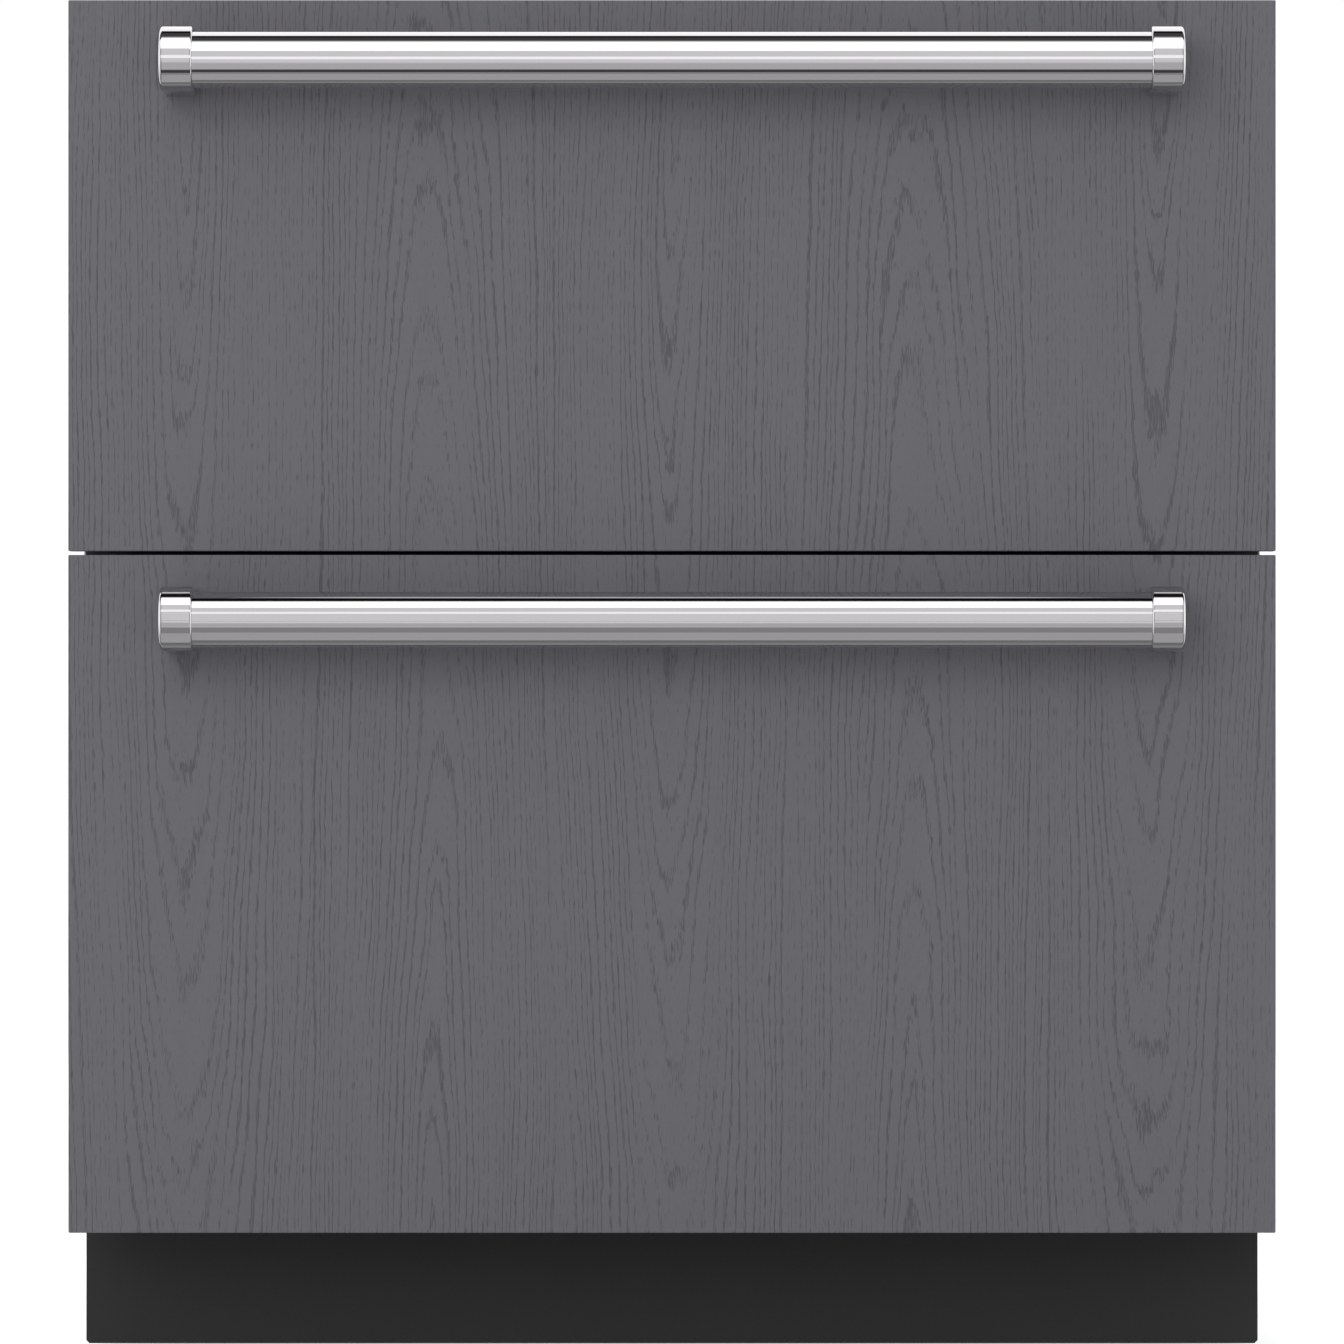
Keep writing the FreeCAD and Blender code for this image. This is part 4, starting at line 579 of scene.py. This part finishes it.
def make_louvres():
    """A pressed hood over each slot of the rear cover, and the cover's folded upper edge."""
    low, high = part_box("rear_cover")
    sheet, deep = high.y, 4.6 * MM
    # Shares of the full depth at distances from a hood's end, and how far round its section is at each row.
    taper = [(-0.6 * MM, -0.06), (1.2 * MM, 0.34), (3.2 * MM, 0.70), (6.0 * MM, 0.93), (10.0 * MM, 1.0)]
    rows = [0.0, 0.18, 0.38, 0.60, 0.82, 1.0]
    slots, first_slot, slot_pitch, slot_to_top = 9, 23.5 * MM, 16 * MM, 7.6 * MM
    hood_height = 8.2 * MM
    # The hoods start a little inside the sheet.
    sunk = 0.1 * MM
    hoods = bmesh.new()
    for left, right in ((-245 * MM, -45 * MM), (95 * MM, 295 * MM)):
        columns = [(left + along, share) for along, share in taper]
        columns += [(right - along, share) for along, share in reversed(taper)]
        for slot in range(slots):
            top = low.z + first_slot + slot_pitch * slot + slot_to_top
            grid = []
            for x, share in columns:
                column = []
                for row in rows:
                    y = sheet + deep * share * math.sin(math.pi / 2 * row) - sunk
                    column.append(hoods.verts.new((x, y, top - row * hood_height)))
                grid.append(column)
            for first, second in zip(grid, grid[1:]):
                for row in range(len(rows) - 1):
                    hoods.faces.new((first[row], first[row + 1], second[row + 1], second[row]))
    hood = piece("rear_cover_louvres", hoods, "cabinet", "galvanised_steel", smooth=50.0)
    wall = hood.modifiers.new("sheet", "SOLIDIFY")
    wall.thickness = 0.8 * MM
    wall.offset = -1.0
    hood.modifiers.move(1, 0)

    hem_thick, hem_height = 1.2 * MM, 6.4 * MM
    hem_middle = (0.0, sheet + 0.5 * MM, high.z - 3.4 * MM)
    hem = bmesh.new()
    bmesh.ops.create_cube(hem, size=1.0)
    bmesh.ops.scale(hem, verts=hem.verts, vec=(high.x - low.x, hem_thick, hem_height))
    bmesh.ops.translate(hem, verts=hem.verts, vec=hem_middle)
    bmesh.ops.bevel(hem, geom=list(hem.edges), offset=0.4 * MM, offset_type="OFFSET", segments=3, profile=0.5,
                    affect="EDGES", material=-1)
    piece("rear_cover_hem", hem, "cabinet", "galvanised_steel")


def make_grommets():
    """Rubber mounts under the compressor: waisted, with rounded rims and a bore for the bolt."""
    low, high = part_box("compressor_grommets")
    radius, bore, tall = 13 * MM, 13 / 3 * MM, high.z - low.z
    # Radius and share of the height, from the bore round the outside and back to it.
    rims = [(bore, 0.08), (bore + 1.2 * MM, 0.0), (radius - 1.6 * MM, 0.0), (radius - 0.4 * MM, 0.06),
            (radius, 0.18), (radius - 0.5 * MM, 0.30), (radius - 2.4 * MM, 0.38), (radius - 2.8 * MM, 0.50),
            (radius - 2.4 * MM, 0.62), (radius - 0.5 * MM, 0.70), (radius, 0.82), (radius - 0.4 * MM, 0.94),
            (radius - 1.6 * MM, 1.0), (bore + 1.2 * MM, 1.0), (bore, 0.92)]
    mounts = bmesh.new()
    for x in (low.x + radius, high.x - radius):
        for y in (low.y + radius, high.y - radius):
            turned_rings(mounts, [(r, share * tall) for r, share in rims], (x, y, low.z), (0, 0, 1), 40)
    piece("compressor_rubber_mounts", mounts, "cabinet", "black_rubber", ["compressor_grommets"], smooth=50.0)


def make_threads(corner):
    """The screw thread of a levelling foot, as a fine ridge wound up its stem."""
    node = "foot_" + corner
    low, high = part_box(node)
    middle_x, middle_y = (low.x + high.x) / 2, (low.y + high.y) / 2
    root, crest, pitch = 5.97 * MM, 6.22 * MM, 1.75 * MM
    start, stop = low.z + 25 * MM, high.z - 1.5 * MM
    steps = 20
    count = int((stop - start) / pitch * steps)
    ridge = bmesh.new()
    last = None
    for step in range(count + 1):
        angle = 2 * math.pi * step / steps
        height = start + pitch * step / steps
        row = []
        for radius, lift in ((root, -0.45), (crest, -0.08), (crest, 0.08), (root, 0.45)):
            x, y = middle_x + radius * math.cos(angle), middle_y + radius * math.sin(angle)
            row.append(ridge.verts.new((x, y, height + lift * pitch)))
        if last:
            for side in range(3):
                ridge.faces.new((last[side], row[side], row[side + 1], last[side + 1]))
            ridge.faces.new((last[3], row[3], row[0], last[0]))
        else:
            ridge.faces.new(row)
        last = row
    ridge.faces.new(last)
    piece(node + "_thread", ridge, node, "slide_steel", smooth=25.0)


make_fasteners()
make_louvres()
make_grommets()
for corner in ("front_left", "front_right", "rear_left", "rear_right"):
    make_threads(corner)


# Studio: a pale floor, a white surround for the camera, and light from above and in front.
FLOOR_HALF = 60.0
# Strength and tint of what polished surfaces see.
STUDIO_STRENGTH = 1.45
STUDIO_GREEN = 0.985
# Angle up from the front, about the long axis of the pulls, and level of the studio there.
STUDIO_BANDS = [
    (-90, 0.25), (-20, 0.42), (-14, 0.61), (40, 0.62), (76, 0.64), (81, 0.05), (97, 0.045), (101, 0.005),
    (109, 0.005), (114, 1.0), (180, 1.0), (215, 0.9), (268, 0.25),
]
# Studio cards are as wide as the pulls need, so that the rims of the posts see past them.
CARD_HALF = 0.62
# Height of the narrow strips above or below the middle of a pull.
STRIP_AWAY = 60 * MM


def studio_tint(level):
    return (level, level * STUDIO_GREEN, level, 1)


def make_floor():
    floor = bmesh.new()
    bmesh.ops.create_grid(floor, x_segments=1, y_segments=1, size=FLOOR_HALF)
    mesh = bpy.data.meshes.new("floor")
    floor.to_mesh(mesh)
    floor.free()
    material, tree, shader, _ = new_material("pale_floor")
    shader.inputs["Base Color"].default_value = (0.80, 0.80, 0.80, 1)
    shader.inputs["Roughness"].default_value = 0.9
    path = tree.nodes.new("ShaderNodeLightPath").outputs
    seen = calc(tree, "MAXIMUM", path["Is Camera Ray"], path["Is Transmission Ray"])
    # The camera sees a part of the floor's white as its own glow, and the rest carries the shadow.
    glow = add(tree, "ShaderNodeEmission", {"Color": (1, 1, 1, 1), "Strength": 0.45})
    lit = add(tree, "ShaderNodeBsdfDiffuse", {"Color": (0.86, 0.86, 0.86, 1)})
    pale = add(tree, "ShaderNodeAddShader", {0: glow.outputs["Emission"], 1: lit.outputs["BSDF"]})
    mix = add(tree, "ShaderNodeMixShader", {0: seen, 1: shader.outputs["BSDF"], 2: pale.outputs["Shader"]})
    out = next(n for n in tree.nodes if n.type == "OUTPUT_MATERIAL")
    tree.links.new(mix.outputs["Shader"], out.inputs["Surface"])
    mesh.materials.append(material)
    item = bpy.data.objects.new("floor", mesh)
    scene.collection.objects.link(item)
    item.visible_glossy = False


def make_surround():
    """White for the camera, soft light for matt surfaces, and bands of studio panels for polished ones."""
    world = bpy.data.worlds.new("studio")
    scene.world = world
    world.use_nodes = True
    tree = world.node_tree
    tree.nodes.clear()
    direction = tree.nodes.new("ShaderNodeTexCoord").outputs["Generated"]
    axes = add(tree, "ShaderNodeSeparateXYZ", {"Vector": direction}).outputs
    # Turn about the long axis of the pulls: 0 is straight below, 0.25 the front, 0.5 overhead, 0.75 behind.
    ahead = calc(tree, "MULTIPLY", axes["Y"], -1.0)
    turn = calc(tree, "ARCTAN2", axes["Z"], ahead)
    share = calc(tree, "FRACT", calc(tree, "MULTIPLY_ADD", turn, 1 / (2 * math.pi), 0.25))
    bands = tree.nodes.new("ShaderNodeValToRGB")
    ramp = bands.color_ramp
    ramp.interpolation = "LINEAR"
    for index, (degrees, level) in enumerate(STUDIO_BANDS):
        spot = ((degrees + 90) / 360) % 1.0
        stop = ramp.elements[index] if index < 2 else ramp.elements.new(spot)
        stop.position = spot
        stop.color = studio_tint(level)
    tree.links.new(share, bands.inputs["Fac"])
    # To the sides the studio has a dark strip and then a bright end, which draw the rims of polished pieces.
    aside = calc(tree, "ABSOLUTE", axes["X"])
    dark_start = ramp_between(tree, aside, 0.12, 0.22)
    dark_stop = ramp_between(tree, aside, 0.52, 0.44)
    bright_start = ramp_between(tree, aside, 0.73, 0.80)
    in_front = ramp_between(tree, ahead, -0.20, 0.0)
    dark_side = calc(tree, "MULTIPLY", calc(tree, "MULTIPLY", dark_start, dark_stop), in_front)
    seen_aside = blend_colours(tree, dark_side, bands.outputs["Color"], (0.06, 0.06, 0.06, 1))
    seen_aside = blend_colours(tree, bright_start, seen_aside, (0.95, 0.95, 0.96, 1))
    path = tree.nodes.new("ShaderNodeLightPath").outputs
    matt = add(tree, "ShaderNodeBackground", {"Color": (1.0, 1.0, 1.0, 1), "Strength": 0.655})
    polished = add(tree, "ShaderNodeBackground", {"Color": seen_aside, "Strength": STUDIO_STRENGTH})
    white = add(tree, "ShaderNodeBackground", {"Color": (1, 1, 1, 1), "Strength": 1.05})
    first = add(tree, "ShaderNodeMixShader", {
        0: path["Is Glossy Ray"], 1: matt.outputs["Background"], 2: polished.outputs["Background"]})
    seen = calc(tree, "MAXIMUM", path["Is Camera Ray"], path["Is Transmission Ray"])
    second = add(tree, "ShaderNodeMixShader", {
        0: seen, 1: first.outputs["Shader"], 2: white.outputs["Background"]})
    out = tree.nodes.new("ShaderNodeOutputWorld")
    tree.links.new(second.outputs["Shader"], out.inputs["Surface"])


def make_card(name, corners, level, one_sided=False):
    """A studio panel that only polished surfaces see, from both sides or from its front."""
    shape = bmesh.new()
    shape.faces.new([shape.verts.new(corner) for corner in corners])
    mesh = bpy.data.meshes.new(name)
    shape.to_mesh(mesh)
    shape.free()
    material = bpy.data.materials.new(name)
    material.use_nodes = True
    tree = material.node_tree
    tree.nodes.clear()
    glow = add(tree, "ShaderNodeEmission", {"Color": studio_tint(level), "Strength": STUDIO_STRENGTH})
    out = tree.nodes.new("ShaderNodeOutputMaterial")
    shown = glow.outputs["Emission"]
    if one_sided:
        clear = tree.nodes.new("ShaderNodeBsdfTransparent")
        behind = tree.nodes.new("ShaderNodeNewGeometry").outputs["Backfacing"]
        mix = add(tree, "ShaderNodeMixShader", {0: behind, 1: shown, 2: clear.outputs["BSDF"]})
        shown = mix.outputs["Shader"]
    tree.links.new(shown, out.inputs["Surface"])
    mesh.materials.append(material)
    item = bpy.data.objects.new(name, mesh)
    scene.collection.objects.link(item)
    item.visible_camera = False
    item.visible_diffuse = False
    item.visible_shadow = False
    item.visible_transmission = False


def level_card(name, near, far, height, level, one_sided=False):
    make_card(name, [(-CARD_HALF, -near, height), (CARD_HALF, -near, height), (CARD_HALF, -far, height),
                     (-CARD_HALF, -far, height)], level, one_sided)


def upright_card(name, away, low, high, level):
    make_card(name, [(-CARD_HALF, -away, low), (CARD_HALF, -away, low), (CARD_HALF, -away, high),
                     (-CARD_HALF, -away, high)], level)


def pull_middle(drawer):
    return sum(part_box(drawer + "_handle_bar"), Vector()) / 2


def make_line_card():
    """A slanted dark card that draws a line on the upper pull: the lower one looks along its edge."""
    pull = pull_middle("upper")
    far = (pull.y - 0.386, pull.z - 0.388)
    near = (pull.y - 0.259, pull.z - 0.376)
    make_card("line_card", [(-CARD_HALF, *far), (CARD_HALF, *far), (CARD_HALF, *near), (-CARD_HALF, *near)],
              0.045, True)


def make_edge_strips(drawer, edges):
    """Narrow strips under a pull, seen from above: they draw a dark and a light line along its lower edge."""
    pull = pull_middle(drawer)
    levels = (("_clear_strip", 0.34), ("_band_strip", 0.154), ("_line_strip", 0.212))
    for (name, level), front, back in zip(levels, edges, edges[1:]):
        level_card(drawer + name, -pull.y - front * MM, -pull.y - back * MM, pull.z - STRIP_AWAY, level,
                   one_sided=True)


def make_top_lines():
    """Strips above the lower pull, seen from below: a thin light line along its tube and on each post."""
    pull = pull_middle("lower")
    height = pull.z + STRIP_AWAY
    front, back = pull.y - 2.5 * MM, pull.y + 6.0 * MM
    # The line on the tube tapers to its ends.
    full, tip = 0.20, 0.277
    outline = [(-tip, (front + back) / 2), (-full, back), (full, back), (tip, (front + back) / 2),
               (full, front), (-full, front)]
    make_card("top_line_strip", [(x, y, height) for x, y in outline], 0.40, True)
    inner, outer = 0.301, 0.3195
    front, back = pull.y - 2.0 * MM, pull.y + 4.5 * MM
    for side in (-1, 1):
        outline = [(inner, front), (inner, back), (outer, back), (outer, front)][::side]
        make_card("post_line_strip", [(x * side, y, height) for x, y in outline], 0.55, True)


def make_lamp(name, place, aim, size, watts):
    lamp = bpy.data.lights.new(name, "AREA")
    lamp.shape = "RECTANGLE"
    lamp.size, lamp.size_y = size
    lamp.energy = watts
    item = bpy.data.objects.new(name, lamp)
    item.location = place
    item.rotation_euler = (Vector(aim) - Vector(place)).to_track_quat("-Z", "Y").to_euler()
    item.visible_camera = False
    item.visible_glossy = False
    scene.collection.objects.link(item)


make_floor()
make_surround()
level_card("overhead_card", 0.44, 0.91, 1.18, 1.25)
upright_card("front_card", 1.02, 0.785, 0.915, 0.97)
level_card("far_floor_card", 1.40, 2.95, -0.2, 0.41)
level_card("mid_floor_card", 0.82, 1.40, -0.2, 0.22)
level_card("near_floor_card", 0.20, 0.82, -0.2, 0.34)
make_line_card()
# A near-black card under the upper pull that only polished surfaces see. It is a painted reflection of the
# shaded timber below the pull.
level_card("shaded_timber_reflection_card", 0.294, 0.343, 0.70, 0.005, one_sided=True)
make_edge_strips("upper", (-14.0, -6.4, 2.6, 12.4))
make_edge_strips("lower", (-14.0, -9.4, 5.9, 22.9))
make_top_lines()
make_lamp("key", (-1.2, -4.1, 1.75), (0.0, -0.27, 0.45), (2.8, 2.1), 49.0)
make_lamp("over", (0.0, 0.55, 3.1), (0.0, 0.25, 0.85), (2.4, 2.0), 20.0)
for side in (-1, 1):
    make_lamp("side", (3.0 * side, 0.5, 1.3), (0.37 * side, 0.1, 0.45), (1.8, 1.8), 16.0)
make_lamp("behind", (0.0, 3.3, 1.4), (0.0, 0.34, 0.45), (1.8, 1.8), 24.0)

# The camera looks straight at the front, level with the middle of the picture.
CAMERA_DISTANCE = 4.8
CAMERA_HEIGHT = 0.4352
PICTURE_WIDTH = 0.8414
SENSOR_WIDTH = 36.0
camera_data = bpy.data.cameras.new("front_view")
camera_data.sensor_width = SENSOR_WIDTH
camera_data.lens = SENSOR_WIDTH * CAMERA_DISTANCE / PICTURE_WIDTH
camera = bpy.data.objects.new("front_view", camera_data)
camera.location = (0.0, PANEL_FACE - CAMERA_DISTANCE, CAMERA_HEIGHT)
camera.rotation_euler = (math.radians(90), 0.0, 0.0)
scene.collection.objects.link(camera)
scene.camera = camera
